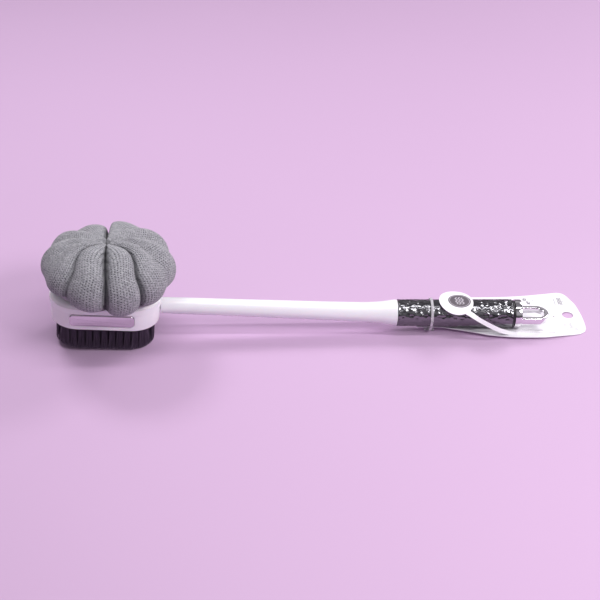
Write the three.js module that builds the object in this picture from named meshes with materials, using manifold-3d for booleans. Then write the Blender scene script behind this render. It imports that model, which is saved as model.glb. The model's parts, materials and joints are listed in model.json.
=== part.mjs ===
// A long-handled back scrubber: a nylon bristle brush under a white two-shell head, a grey knitted
// scrubbing puff on top of it, a bowed white handle, a chrome grip with a hanging loop, and the card
// hang tag that is tied to the grip. Millimetres, +Z up. The origin is the centre of the bristle tips,
// and +X runs along the handle.
import * as THREE from 'three';
import { mergeVertices } from 'three/addons/utils/BufferGeometryUtils.js';
import Module from 'manifold-3d';

const wasm = await Module();
wasm.setup();

// ---------------------------------------------------------------- driving dimensions
const GAP = 0.3;

// Head outline: half length, half width and corner radius of each layer.
const TIPS = { halfX: 38.2, halfY: 24.7, corner: 21 };
const PLATE = { halfX: 39.7, halfY: 25, corner: 20.5, bottom: 18.7, top: 20.6 };
const SHELL = { halfX: 42, halfY: 27, corner: 22, bottom: 19.4, top: 33.9, wall: 2 };
const FLOOR = { bottom: 20.9, top: 22.7 };
const COVER = { halfX: 43.2, halfY: 28.2, corner: 23, top: 41.5, wall: 2, roundOver: 2.8 };
const ROUND_STEPS = 10;

// Bristle tufts stand in rows and spread a little towards their tips.
const TUFT = { pitchX: 5.9, pitchY: 6, rootRadius: 2.2, tipRadius: 2.9, sides: 6, backing: 0.8 };

// Mirror-bright bar let into the front of the head, a little nearer its free end.
const BAR = { centreX: -1.7, length: 49.6, bottom: 23, top: 33.2, corner: 3, proud: 1.1, recess: 1 };

// Screws: four up into the cover's bosses, and one up into the handle's spigot.
const SCREW = { shank: 1.2, head: 2.4, headHeight: 0.9, length: 9, sides: 16 };
const BOSS = { x: 30, y: 14, radius: 3.4 };
const NECK_SCREW_X = 29;

// Puff: a knitted bag over a foam core, pinched at the centre into ten lobes. It is fuller underneath,
// where it is pressed flat on the head.
const PUFF = { ringRadius: 14.2, reach: 38.8, midHeight: 60.2, bottom: 41.8, top: 84.2, dimple: 73 };
const PRESSED = 0.8;
const LOBES = { count: 10, depth: 0.13, fadeFrom: 18, fadeOver: 14 };
const FUNNEL = { radius: 4.5, drop: 3 };
const BAG_THICKNESS = 1.5;
const CORE_CREST = { radius: 5, drop: 8 };
const PUFF_SEGMENTS = 40;
const PUFF_BASE = { radius: 16, thickness: 2, plugRadius: 7, plugBottom: 34 };
const TIE_BORE = 2.2;
const TIE_RADIUS = 1.3;

// Handle: stations of [x, outer radius] from the neck's shoulder to the end of the flare.
const NECK = { z: 26.6, shoulderX: 42.6, spigotStart: 20, spigotRadius: 3.6, bore: 2.2 };
const STATIONS = [
  [42.6, 6.45], [66, 6.6], [106, 6.8], [137, 7.1], [169, 7.4], [201, 7.85],
  [209, 8.2], [216, 8.75], [220, 9.3], [224, 9.95], [227, 10.3], [229.2, 10.5],
];
const BOW = { start: 185, radius: 1400 };
const TURNED_SIDES = 40;

// Grip, along its own straight axis from the end of the flare.
const GRIP = { x: 231, overhang: 1.5, length: 90.3, startRadius: 10.6, endRadius: 11.45, bore: 9.2 };
const CORE = { radius: 8.9, spigotRadius: 5.2, spigotLength: 24, socketRadius: 6.5, socketDepth: 14.3 };
const SEAL = { start: 90.6, end: 92, radius: 10.7 };
const CAP = { start: 92.3, end: 97.8, radius: 11.35, edge: 0.5, stemRadius: 6.2, stemStart: 77 };
const LOOP = { halfWidth: 9.7, band: 3.4, height: 5.6, drop: 1.5, root: 95.4, bend: 111, flat: 1.5 };
const ARC_STEPS = 8;

// Hang tag: a card under the grip, with a strap that climbs round the grip to a round tab on top.
const CARD = { under: 11.95, thickness: 0.8 };
const PEG_HOLE = { x: 141.4, y: 16, radius: 4.65 };
const STRAP = { width: 5, thickness: 0.5, radius: 12.35, steps: 18 };
const TAB = { x: 44.8, y: -1.4, halfX: 13.5, halfY: 16.5 };
const TIE_BAND = { x: 25.5, width: 2, thickness: 0.7, radius: 11.2, foot: 13.1, footHalf: 6 };
const CLIP = { length: 8.3, width: 4, height: 1.6 };

// ---------------------------------------------------------------- materials
const finish = (color, roughness, metalness = 0) =>
  new THREE.MeshStandardMaterial({ color, roughness, metalness });
const whitePlastic = () => finish(0xf2eef4, 0.22);
const blackNylon = () => finish(0x2c2030, 0.55);
const chrome = () => finish(0xd8d4dc, 0.06, 1);
const gunmetal = () => finish(0x77747c, 0.14, 1);
const screwSteel = () => finish(0x9a9a9e, 0.3, 1);
const greyKnit = () => finish(0x97979c, 0.95);
const foam = () => finish(0xd9d6cf, 0.9);
const cord = () => finish(0xc9c9cc, 0.8);
const blackRubber = () => finish(0x161418, 0.6);
const card = () => finish(0xf1e9f5, 0.6);
const clearPlastic = () => finish(0xe9e6ee, 0.25);

// ---------------------------------------------------------------- solids
function toManifold(geometry) {
  const bare = geometry.clone();
  bare.deleteAttribute('normal');
  bare.deleteAttribute('uv');
  const merged = mergeVertices(bare, 1e-4);
  const vertProperties = new Float32Array(merged.attributes.position.array);
  const triVerts = new Uint32Array(merged.index.array);
  return new wasm.Manifold(new wasm.Mesh({ numProp: 3, vertProperties, triVerts }));
}

function toGeometry(manifold) {
  const mesh = manifold.getMesh();
  const geometry = new THREE.BufferGeometry();
  geometry.setAttribute('position', new THREE.BufferAttribute(mesh.vertProperties, 3));
  geometry.setIndex(new THREE.BufferAttribute(mesh.triVerts, 1));
  geometry.computeVertexNormals();
  return geometry;
}

const join = (first, ...rest) =>
  toGeometry(rest.reduce((sum, piece) => sum.add(toManifold(piece)), toManifold(first)));
const cut = (first, ...rest) =>
  toGeometry(rest.reduce((left, tool) => left.subtract(toManifold(tool)), toManifold(first)));

function roundedRectangle(halfX, halfY, corner) {
  const shape = new THREE.Shape();
  const x = halfX - corner;
  const y = halfY - corner;
  shape.absarc(x, y, corner, 0, Math.PI / 2);
  shape.absarc(-x, y, corner, Math.PI / 2, Math.PI);
  shape.absarc(-x, -y, corner, Math.PI, 1.5 * Math.PI);
  shape.absarc(x, -y, corner, 1.5 * Math.PI, 2 * Math.PI);
  shape.closePath();
  return shape;
}

function extrudeUp(shape, bottom, top, curveSegments = ROUND_STEPS / 2) {
  const options = { depth: top - bottom, bevelEnabled: false, curveSegments };
  return new THREE.ExtrudeGeometry(shape, options).translate(0, 0, bottom);
}

const slab = (layer, bottom, top) =>
  extrudeUp(roundedRectangle(layer.halfX, layer.halfY, layer.corner), bottom, top);

function post(x, y, radius, bottom, top, sides = TURNED_SIDES) {
  const geometry = new THREE.CylinderGeometry(radius, radius, top - bottom, sides);
  return geometry.rotateX(Math.PI / 2).translate(x, y, (top + bottom) / 2);
}

function rodAlongX(radius, z, start, end) {
  const geometry = new THREE.CylinderGeometry(radius, radius, end - start, TURNED_SIDES);
  return geometry.rotateZ(-Math.PI / 2).translate((start + end) / 2, 0, z);
}

// A turned piece along X from its outline of [x, radius] points, given with x rising on the outside.
function turnAlongX(outline, sides = TURNED_SIDES) {
  const points = outline.map(([x, radius]) => new THREE.Vector2(radius, x));
  return new THREE.LatheGeometry(points, sides).rotateZ(-Math.PI / 2);
}

// A turned piece about Z from its outline of [radius, z] points.
function turnAboutZ(outline, sides) {
  const points = outline.map(([radius, z]) => new THREE.Vector2(radius, z));
  return new THREE.LatheGeometry(points, sides).rotateX(Math.PI / 2);
}

function moveVertices(geometry, move) {
  const positions = geometry.attributes.position;
  const point = new THREE.Vector3();
  for (let i = 0; i < positions.count; i += 1) {
    move(point.fromBufferAttribute(positions, i));
    positions.setXYZ(i, point.x, point.y, point.z);
  }
  return geometry;
}

function piece(name, geometry, material) {
  const mesh = new THREE.Mesh(geometry, material);
  mesh.name = name;
  return mesh;
}

// ---------------------------------------------------------------- head
const inset = (layer, by) =>
  ({ halfX: layer.halfX - by, halfY: layer.halfY - by, corner: layer.corner - by });
const bossCentres = [[1, 1], [-1, 1], [-1, -1], [1, -1]].map(([i, j]) => [i * BOSS.x, j * BOSS.y]);

function barOutline(clearance) {
  const halfHeight = (BAR.top - BAR.bottom) / 2 + clearance;
  return roundedRectangle(BAR.length / 2 + clearance, halfHeight, BAR.corner + clearance);
}

// The bar's outline lies in the X-Z plane and is extruded towards -Y.
function barBlock(clearance, back, front) {
  const geometry = extrudeUp(barOutline(clearance), 0, back - front, 3);
  return geometry.rotateX(Math.PI / 2).translate(BAR.centreX, back, (BAR.top + BAR.bottom) / 2);
}

function screwHoles(x, y) {
  const passage = post(x, y, SCREW.shank + GAP, FLOOR.bottom - 1, FLOOR.top + 1, SCREW.sides);
  const seatTop = FLOOR.bottom + SCREW.headHeight + GAP;
  const seat = post(x, y, SCREW.head + GAP, FLOOR.bottom - 1, seatTop, SCREW.sides);
  return [passage, seat];
}

// White lower shell: a wall round a screw floor, with the bristle plate's recess underneath.
function headShell() {
  const front = -SHELL.halfY;
  return cut(
    slab(SHELL, SHELL.bottom, SHELL.top),
    slab(inset(SHELL, SHELL.wall), FLOOR.top, SHELL.top + 1),
    slab(inset(SHELL, SHELL.wall - GAP), SHELL.bottom - 1, FLOOR.bottom),
    rodAlongX(NECK.spigotRadius + GAP, NECK.z, SHELL.halfX - SHELL.wall - 2, SHELL.halfX + 1),
    barBlock(GAP, front + BAR.recess, front - 1),
    ...screwHoles(NECK_SCREW_X, 0),
    ...bossCentres.flatMap(([x, y]) => screwHoles(x, y)),
  );
}

// White upper shell with a rounded edge, screw bosses, and a socket for the puff's plug.
function headCover() {
  const r = COVER.roundOver;
  const core = inset(COVER, r);
  const bottom = SHELL.top + GAP;
  const rounded = new THREE.ExtrudeGeometry(roundedRectangle(core.halfX, core.halfY, core.corner), {
    depth: COVER.top - r - bottom,
    bevelThickness: r,
    bevelSize: r,
    bevelSegments: 4,
    curveSegments: ROUND_STEPS / 2,
  }).translate(0, 0, bottom);
  const below = slab(inset(COVER, -1), bottom - 2 * r, bottom);
  const ceiling = COVER.top - COVER.wall;
  const cap = cut(
    rounded,
    below,
    slab(inset(COVER, COVER.wall), bottom - 1, ceiling),
  );
  const bossBottom = FLOOR.top + GAP;
  const bosses = bossCentres.map(([x, y]) => post(x, y, BOSS.radius, bossBottom, ceiling + 1, 20));
  const bores = bossCentres.map(([x, y]) =>
    post(x, y, SCREW.shank + GAP, bossBottom - 1, FLOOR.bottom + SCREW.length + 1, SCREW.sides));
  const plugHole = PUFF_BASE.plugRadius + GAP;
  const socket = post(0, 0, plugHole + 2, PUFF_BASE.plugBottom, ceiling + 1);
  const socketBore = post(0, 0, plugHole, PUFF_BASE.plugBottom - 1, COVER.top + 1);
  return cut(join(cap, socket, ...bosses), socketBore, ...bores);
}

function tuftCentres() {
  const rows = [];
  const columns = Math.floor(TIPS.halfX / TUFT.pitchX);
  const lines = Math.floor(TIPS.halfY / TUFT.pitchY);
  const reachX = TIPS.halfX - TUFT.tipRadius;
  const reachY = TIPS.halfY - TUFT.tipRadius;
  const corner = TIPS.corner - TUFT.tipRadius;
  for (let i = -columns; i <= columns; i += 1) {
    for (let j = -lines; j <= lines; j += 1) {
      const x = i * TUFT.pitchX;
      const y = j * TUFT.pitchY;
      const outX = Math.max(Math.abs(x) - (reachX - corner), 0);
      const outY = Math.max(Math.abs(y) - (reachY - corner), 0);
      if (Math.hypot(outX, outY) <= corner + 0.5) rows.push([x, y]);
    }
  }
  return rows;
}

// All the tufts, joined through the thin backing that they are set in.
function bristleTufts() {
  const top = PLATE.bottom - GAP;
  const root = top - TUFT.backing;
  const backing = slab(inset(TIPS, -0.4), root, top);
  const tufts = tuftCentres().map(([x, y]) => {
    const height = root + TUFT.backing / 2;
    const tuft = new THREE.CylinderGeometry(TUFT.rootRadius, TUFT.tipRadius, height, TUFT.sides);
    return tuft.rotateX(Math.PI / 2).translate(x, y, height / 2);
  });
  return join(backing, ...tufts);
}

function screw(name, x, y) {
  const seat = FLOOR.bottom + GAP / 2;
  const head = post(x, y, SCREW.head, seat, seat + SCREW.headHeight, SCREW.sides);
  const shank = post(x, y, SCREW.shank, seat + 0.5, seat + SCREW.length, SCREW.sides);
  return piece(name, join(head, shank), screwSteel());
}

function buildHead() {
  const head = new THREE.Group();
  const front = -SHELL.halfY;
  head.add(piece('head_shell', headShell(), whitePlastic()));
  head.add(piece('head_cover', headCover(), whitePlastic()));
  head.add(piece('bristle_plate', slab(PLATE, PLATE.bottom, PLATE.top), blackNylon()));
  head.add(piece('bristle_tufts', bristleTufts(), blackNylon()));
  const bar = barBlock(0, front + BAR.recess - GAP, front - BAR.proud);
  head.add(piece('chrome_bar', bar, chrome()));
  bossCentres.forEach(([x, y], i) => head.add(screw(`cover_screw_${i + 1}`, x, y)));
  head.add(screw('neck_screw', NECK_SCREW_X, 0));
  return head;
}

// ---------------------------------------------------------------- puff
// Points of the puff's round side, from under the bag's mouth over the equator to the top crest.
function puffSide(offset, mouthRadius, steps) {
  const lift = PUFF.midHeight - PUFF.bottom - offset;
  const crest = PUFF.top - PUFF.midHeight - offset;
  const reach = PUFF.reach - offset;
  const start = -Math.acos(((mouthRadius - PUFF.ringRadius) / reach) ** (1 / PRESSED));
  return Array.from({ length: steps + 1 }, (_, i) => {
    const angle = THREE.MathUtils.lerp(start, Math.PI / 2, i / steps);
    const out = Math.cos(angle);
    const up = Math.sin(angle);
    return angle < 0
      ? [PUFF.ringRadius + reach * out ** PRESSED, PUFF.midHeight - lift * (-up) ** PRESSED]
      : [PUFF.ringRadius + reach * out, PUFF.midHeight + crest * up];
  });
}

// Pulls the surface in along the creases between the lobes.
function pinchLobes(point) {
  const radius = Math.hypot(point.x, point.y);
  const angle = Math.atan2(point.y, point.x);
  const crease = 1 - Math.abs(Math.sin((LOBES.count / 2) * (angle - Math.PI / 2)));
  const fade = THREE.MathUtils.smoothstep(radius, LOBES.fadeFrom, LOBES.fadeFrom + LOBES.fadeOver);
  const scale = 1 - LOBES.depth * crease * fade;
  point.x *= scale;
  point.y *= scale;
}

function puffBag() {
  const mouth = PUFF_BASE.radius + GAP;
  const outside = puffSide(0, mouth, 13);
  const inside = puffSide(BAG_THICKNESS, mouth, 11).reverse();
  const funnelTop = PUFF.top - FUNNEL.drop;
  const outline = [
    [0, PUFF.dimple - BAG_THICKNESS],
    [FUNNEL.radius, funnelTop - 2 * BAG_THICKNESS],
    ...inside,
    ...outside,
    [FUNNEL.radius, funnelTop - BAG_THICKNESS / 2],
    [0, PUFF.dimple],
  ];
  return moveVertices(turnAboutZ(outline, PUFF_SEGMENTS), pinchLobes);
}

function puffCore() {
  const offset = BAG_THICKNESS + 2 * GAP;
  const side = puffSide(offset, PUFF_BASE.radius, 10);
  const bottom = side[0][1];
  const outline = [
    [TIE_BORE, PUFF.dimple - BAG_THICKNESS - 2 * GAP],
    [TIE_BORE, bottom],
    ...side,
    [CORE_CREST.radius, PUFF.top - CORE_CREST.drop],
    [TIE_BORE, PUFF.dimple - BAG_THICKNESS - 2 * GAP],
  ];
  return moveVertices(turnAboutZ(outline, PUFF_SEGMENTS), pinchLobes);
}

function puffBase() {
  const { radius, thickness, plugRadius, plugBottom } = PUFF_BASE;
  const disc = post(0, 0, radius, PUFF.bottom, PUFF.bottom + thickness - 2 * GAP);
  const plug = post(0, 0, plugRadius, plugBottom + 1, PUFF.bottom + thickness / 2);
  return join(disc, plug);
}

function buildPuff() {
  const puff = new THREE.Group();
  const tieBottom = PUFF.bottom + PUFF_BASE.thickness;
  const tieTop = PUFF.dimple - BAG_THICKNESS - 3 * GAP;
  puff.add(piece('puff_cover', puffBag(), greyKnit()));
  puff.add(piece('puff_core', puffCore(), foam()));
  puff.add(piece('puff_base', puffBase(), whitePlastic()));
  puff.add(piece('puff_tie', post(0, 0, TIE_RADIUS, tieBottom, tieTop, 12), cord()));
  return puff;
}

// ---------------------------------------------------------------- handle
const bowSlope = (x) => Math.max(x - BOW.start, 0) / BOW.radius;
const bowRise = (x) => (bowSlope(x) ** 2) * BOW.radius / 2;
const gripTilt = bowSlope(GRIP.x);

// Hollow white tube: a spigot in the head, a slim stem that thickens, and a flare that meets the grip.
function handleTube() {
  const end = STATIONS.at(-1)[0];
  const socketStart = end - CORE.spigotLength - 1;
  const boreBends = STATIONS.filter(([x]) => x > NECK.shoulderX && x < socketStart);
  const socketRadius = CORE.spigotRadius + GAP;
  const outline = [
    [NECK.spigotStart, NECK.bore],
    [NECK.spigotStart, NECK.spigotRadius],
    [NECK.shoulderX, NECK.spigotRadius],
    ...STATIONS,
    [end, socketRadius],
    [socketStart, socketRadius],
    [socketStart, NECK.bore],
    ...boreBends.map(([x]) => [x, NECK.bore]).reverse(),
    [NECK.spigotStart, NECK.bore],
  ];
  const tube = moveVertices(turnAlongX(outline), (point) => {
    const { x, z } = point;
    point.x = x - z * bowSlope(x);
    point.z = NECK.z + z + bowRise(x);
  });
  const pilotTop = NECK.z + NECK.spigotRadius + 1;
  const pilot = post(NECK_SCREW_X, 0, SCREW.shank + GAP, FLOOR.bottom, pilotTop, SCREW.sides);
  return cut(tube, pilot);
}

// ---------------------------------------------------------------- grip, in its own straight frame
function gripCore() {
  const end = GRIP.length;
  const socket = end - CORE.socketDepth;
  return turnAlongX([
    [-CORE.spigotLength, 0],
    [-CORE.spigotLength, CORE.spigotRadius],
    [0, CORE.spigotRadius],
    [0, CORE.radius],
    [end, CORE.radius],
    [end, CORE.socketRadius],
    [socket, CORE.socketRadius],
    [socket, 0],
  ]);
}

function gripSleeve() {
  return turnAlongX([
    [-GRIP.overhang, GRIP.bore],
    [-GRIP.overhang, GRIP.startRadius],
    [GRIP.length, GRIP.endRadius],
    [GRIP.length, GRIP.bore],
    [-GRIP.overhang, GRIP.bore],
  ]);
}

function sealRing() {
  return turnAlongX([
    [SEAL.start, CORE.socketRadius],
    [SEAL.start, SEAL.radius],
    [SEAL.end, SEAL.radius],
    [SEAL.end, CORE.socketRadius],
    [SEAL.start, CORE.socketRadius],
  ]);
}

// Chrome end cap: a plug stem in the grip's core, and two pockets that hold the loop's arms.
function endCap() {
  const turned = turnAlongX([
    [CAP.stemStart, 0],
    [CAP.stemStart, CAP.stemRadius],
    [CAP.start, CAP.stemRadius],
    [CAP.start, CAP.radius - CAP.edge],
    [CAP.start + CAP.edge, CAP.radius],
    [CAP.end - CAP.edge, CAP.radius],
    [CAP.end, CAP.radius - CAP.edge],
    [CAP.end, 0],
  ]);
  const pocketStart = LOOP.root - GAP;
  const pocketLength = CAP.end + 1 - pocketStart;
  const armY = LOOP.halfWidth - LOOP.band / 2;
  const pockets = [-1, 1].map((side) =>
    new THREE.BoxGeometry(pocketLength, LOOP.band + 2 * GAP, LOOP.height + 2 * GAP)
      .translate(pocketStart + pocketLength / 2, side * armY, -LOOP.drop));
  return cut(turned, ...pockets);
}

// U-shaped band. The inside of its bend has a short flat, which is what a hook bears on.
function hangLoop() {
  const inner = LOOP.halfWidth - LOOP.band;
  const shape = new THREE.Shape();
  shape.moveTo(LOOP.root, -LOOP.halfWidth);
  shape.absarc(LOOP.bend, 0, LOOP.halfWidth, -Math.PI / 2, Math.PI / 2);
  shape.lineTo(LOOP.root, LOOP.halfWidth);
  shape.lineTo(LOOP.root, inner);
  shape.absarc(LOOP.bend, LOOP.flat, inner - LOOP.flat, Math.PI / 2, 0, true);
  shape.absarc(LOOP.bend, -LOOP.flat, inner - LOOP.flat, 0, -Math.PI / 2, true);
  shape.lineTo(LOOP.root, -inner);
  shape.closePath();
  return extrudeUp(shape, -LOOP.height / 2 - LOOP.drop, LOOP.height / 2 - LOOP.drop, ARC_STEPS);
}

function buildEnd() {
  const end = new THREE.Group();
  end.add(piece('seal_ring', sealRing(), blackRubber()));
  end.add(piece('end_cap', endCap(), chrome()));
  end.add(piece('hang_loop', hangLoop(), chrome()));
  return end;
}

// ---------------------------------------------------------------- hang tag, in the grip's frame
// The card narrows to a tail that is tied to the grip, and widens to a rounded end past the loop.
function cardOutline() {
  const shape = new THREE.Shape();
  shape.moveTo(15, 5);
  shape.lineTo(15, -3.5);
  shape.bezierCurveTo(48, -3.5, 58, -16.4, 97, -16.4);
  shape.bezierCurveTo(115, -16.4, 128, -13.2, 144, -11);
  shape.quadraticCurveTo(152.5, -9, 153, 1);
  shape.quadraticCurveTo(153.2, 22, 147.5, 38);
  shape.quadraticCurveTo(143.5, 49.5, 134, 46.8);
  shape.quadraticCurveTo(105, 40.5, 62, 39.4);
  shape.quadraticCurveTo(42, 37, 37, 17);
  shape.quadraticCurveTo(33, 6, 15, 5);
  const hole = new THREE.Path();
  hole.absarc(PEG_HOLE.x, PEG_HOLE.y, PEG_HOLE.radius, 0, 2 * Math.PI, true);
  shape.holes.push(hole);
  return shape;
}

// The strap is laid out flat as [along the grip, round the grip], then rolled round the grip.
function rolledStrap() {
  const quarter = (Math.PI / 2) * STRAP.radius;
  const centre = new THREE.SplineCurve([
    new THREE.Vector2(93, -quarter),
    new THREE.Vector2(78.6, -9.2),
    new THREE.Vector2(63.3, 1.6),
    new THREE.Vector2(51, 9),
    new THREE.Vector2(46, quarter),
  ]);
  const strip = new THREE.BoxGeometry(1, STRAP.width, STRAP.thickness, STRAP.steps, 1, 1);
  return moveVertices(strip, (point) => {
    const along = point.x + 0.5;
    const at = centre.getPoint(along);
    const tangent = centre.getTangent(along);
    const x = at.x - tangent.y * point.y;
    const turn = (at.y + tangent.x * point.y) / STRAP.radius;
    const radius = STRAP.radius + point.z;
    point.set(x, -radius * Math.cos(turn), radius * Math.sin(turn));
  });
}

function tagCard() {
  const sheet = extrudeUp(cardOutline(), -CARD.under - CARD.thickness, -CARD.under, ARC_STEPS);
  const tab = new THREE.Shape();
  tab.absellipse(TAB.x, TAB.y, TAB.halfX, TAB.halfY, 0, 2 * Math.PI);
  const tabPlate = extrudeUp(tab, CARD.under, CARD.under + CARD.thickness, ARC_STEPS);
  return join(sheet, rolledStrap(), tabPlate);
}

// Clear band looped round the grip and the card's tail.
function tieOutline(outward) {
  const shape = new THREE.Shape();
  const radius = TIE_BAND.radius + outward;
  const foot = -(TIE_BAND.foot + outward);
  const half = TIE_BAND.footHalf + outward;
  shape.absarc(0, 0, radius, 0, Math.PI);
  shape.quadraticCurveTo(-radius, foot, -half, foot);
  shape.lineTo(half, foot);
  shape.quadraticCurveTo(radius, foot, radius, 0);
  return shape;
}

function tagTie() {
  const band = tieOutline(TIE_BAND.thickness);
  band.holes.push(tieOutline(0));
  const geometry = extrudeUp(band, -TIE_BAND.width / 2, TIE_BAND.width / 2, ARC_STEPS);
  return geometry.rotateX(Math.PI / 2).rotateZ(Math.PI / 2).translate(TIE_BAND.x, 0, 0);
}

function tieClip() {
  const top = -(TIE_BAND.foot + TIE_BAND.thickness + GAP);
  const block = new THREE.BoxGeometry(CLIP.length, CLIP.width, CLIP.height);
  return block.translate(TIE_BAND.x, 0, top - CLIP.height / 2);
}

function buildTag() {
  const tag = new THREE.Group();
  tag.add(piece('tag_card', tagCard(), card()));
  tag.add(piece('tag_tie', tagTie(), clearPlastic()));
  tag.add(piece('tie_clip', tieClip(), clearPlastic()));
  return tag;
}

// ---------------------------------------------------------------- assembly
function buildScrubber() {
  const grip = new THREE.Group();
  grip.position.set(GRIP.x, 0, NECK.z + bowRise(GRIP.x));
  grip.rotation.y = -gripTilt;
  grip.add(piece('grip_core', gripCore(), whitePlastic()));
  grip.add(piece('grip_sleeve', gripSleeve(), gunmetal()));
  grip.add(buildEnd());
  grip.add(buildTag());

  const scrubber = new THREE.Group();
  scrubber.name = 'loofah_back_scrubber';
  scrubber.add(buildHead());
  scrubber.add(buildPuff());
  scrubber.add(piece('handle_tube', handleTube(), whitePlastic()));
  scrubber.add(grip);
  return scrubber;
}

export default buildScrubber();
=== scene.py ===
import json
import math
import random

import bmesh
import bpy
from mathutils import Matrix, Vector, noise


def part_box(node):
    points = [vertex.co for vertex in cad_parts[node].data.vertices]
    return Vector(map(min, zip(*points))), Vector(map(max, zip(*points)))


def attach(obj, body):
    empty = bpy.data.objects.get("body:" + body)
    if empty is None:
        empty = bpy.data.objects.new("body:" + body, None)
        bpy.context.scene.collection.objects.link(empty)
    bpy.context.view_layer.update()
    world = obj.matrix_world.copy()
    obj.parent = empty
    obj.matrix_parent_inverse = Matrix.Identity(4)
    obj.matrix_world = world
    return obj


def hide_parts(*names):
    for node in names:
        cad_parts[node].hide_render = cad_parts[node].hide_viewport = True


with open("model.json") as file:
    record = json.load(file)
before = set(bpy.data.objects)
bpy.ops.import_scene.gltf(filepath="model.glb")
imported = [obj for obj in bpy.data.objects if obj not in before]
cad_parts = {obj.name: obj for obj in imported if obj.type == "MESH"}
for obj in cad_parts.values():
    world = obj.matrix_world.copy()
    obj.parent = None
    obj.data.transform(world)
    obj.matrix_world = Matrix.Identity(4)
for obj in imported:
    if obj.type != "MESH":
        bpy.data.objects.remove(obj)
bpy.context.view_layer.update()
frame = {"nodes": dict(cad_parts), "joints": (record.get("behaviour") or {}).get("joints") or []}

# ---------------------------------------------------------------------------------------------
# Table top, camera and lights. The brush lies as it is put down: on the handle-side edge of its
# bristles and on the end of its hang tag, so the table slopes a little against the head.
MM = 0.001
rest_edge = Vector((38.2, 0, 0)) * MM
_, tag_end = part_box("tag_card")
tag_low = 19.6 * MM
slope = math.atan2(tag_low, tag_end.x - rest_edge.x)
table_turn = Matrix.Translation(rest_edge) @ Matrix.Rotation(-slope, 4, "Y")


def add_object(name, data):
    made = bpy.data.objects.new(name, data)
    bpy.context.scene.collection.objects.link(made)
    return made


def shader(name):
    """A new material, its surface shader, and a maker of further nodes that links what it is given."""
    material = bpy.data.materials.new(name)
    material.use_nodes = True
    tree = material.node_tree
    surface = tree.nodes["Principled BSDF"]

    def link(value, socket):
        if isinstance(value, bpy.types.NodeSocket):
            tree.links.new(value, socket)
        else:
            socket.default_value = value

    def node(kind, inputs=None, **settings):
        made = tree.nodes.new(kind)
        for key, value in settings.items():
            setattr(made, key, value)
        for key, value in (inputs or {}).items():
            link(value, made.inputs[key])
        return made

    def maths(operation, *values):
        made = tree.nodes.new("ShaderNodeMath")
        made.operation = operation
        for value, socket in zip(values, made.inputs):
            link(value, socket)
        return made.outputs[0]

    def blend_colours(factor, first, second):
        made = tree.nodes.new("ShaderNodeMix")
        made.data_type = "RGBA"
        link(factor, made.inputs["Factor"])
        link(first, made.inputs["A"])
        link(second, made.inputs["B"])
        return made.outputs["Result"]

    def set_surface(**values):
        for key, value in values.items():
            link(value, surface.inputs[key.replace("_", " ").title().replace("Ior", "IOR")])

    return material, node, maths, blend_colours, set_surface


def table_finish():
    material, node, maths, blend_colours, set_surface = shader("lilac_table_paper")
    place = node("ShaderNodeTexCoord").outputs["Object"]
    cloudy = node("ShaderNodeTexNoise", {"Vector": place, "Scale": 2.2, "Detail": 2.0})
    tint = blend_colours(cloudy.outputs["Fac"], (0.545, 0.372, 0.56, 1), (0.575, 0.395, 0.585, 1))
    set_surface(base_color=tint, roughness=0.75, specular_ior_level=0.2)
    return material


table_mesh = bpy.data.meshes.new("table_top")
bm = bmesh.new()
bmesh.ops.create_grid(bm, x_segments=1, y_segments=1, size=6.0, matrix=table_turn)
bm.to_mesh(table_mesh)
bm.free()
table = add_object("table_top", table_mesh)
table.data.materials.append(table_finish())

lean = Matrix.Rotation(-math.radians(3.805), 4, "Y")
azimuth, elevation, distance = math.radians(-3.5), math.radians(34.0), 1.17
aim = Vector((38.5, 0, 0)) * MM + lean @ Vector((115.213, 0, 28.377)) * MM
lens = bpy.data.cameras.new("camera")
lens.lens = 89.185
lens.sensor_width = 36
camera = add_object("camera", lens)
back = Vector((math.sin(azimuth) * math.cos(elevation), -math.cos(azimuth) * math.cos(elevation),
               math.sin(elevation)))
level_view = back.to_track_quat("Z", "Y").to_matrix().to_4x4()
roll = Matrix.Rotation(math.radians(0.839), 4, "Z")
camera.matrix_world = Matrix.Translation(aim + lean @ back * distance) @ lean @ level_view @ roll
bpy.context.scene.camera = camera


def soft_light(name, place, target, size, power, colour):
    lamp = bpy.data.lights.new(name, "AREA")
    lamp.shape = "RECTANGLE"
    lamp.size, lamp.size_y = size
    lamp.energy = power
    lamp.color = colour
    made = add_object(name, lamp)
    away = (Vector(place) - Vector(target)).to_track_quat("Z", "Y").to_matrix().to_4x4()
    made.matrix_world = Matrix.Translation(place) @ away


soft_light("front_softbox", (0.80, -0.62, 0.95), (0.25, -0.1, 0.0), (0.5, 0.35), 8.8, (1, 0.985, 0.99))
soft_light("back_softbox", (-0.35, 0.55, 0.75), (0.1, 0, 0), (0.3, 0.25), 3.6, (0.99, 0.98, 1))
soft_light("side_softbox", (0.95, 0.75, 0.9), (0.4, 0.2, 0), (0.5, 0.4), 6.5, (1, 0.98, 1))
soft_light("overhead_strip", (0.2, -0.16, 1.1), (0.2, 0, 0), (1.0, 0.1), 4.6, (1, 0.99, 1))

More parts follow.
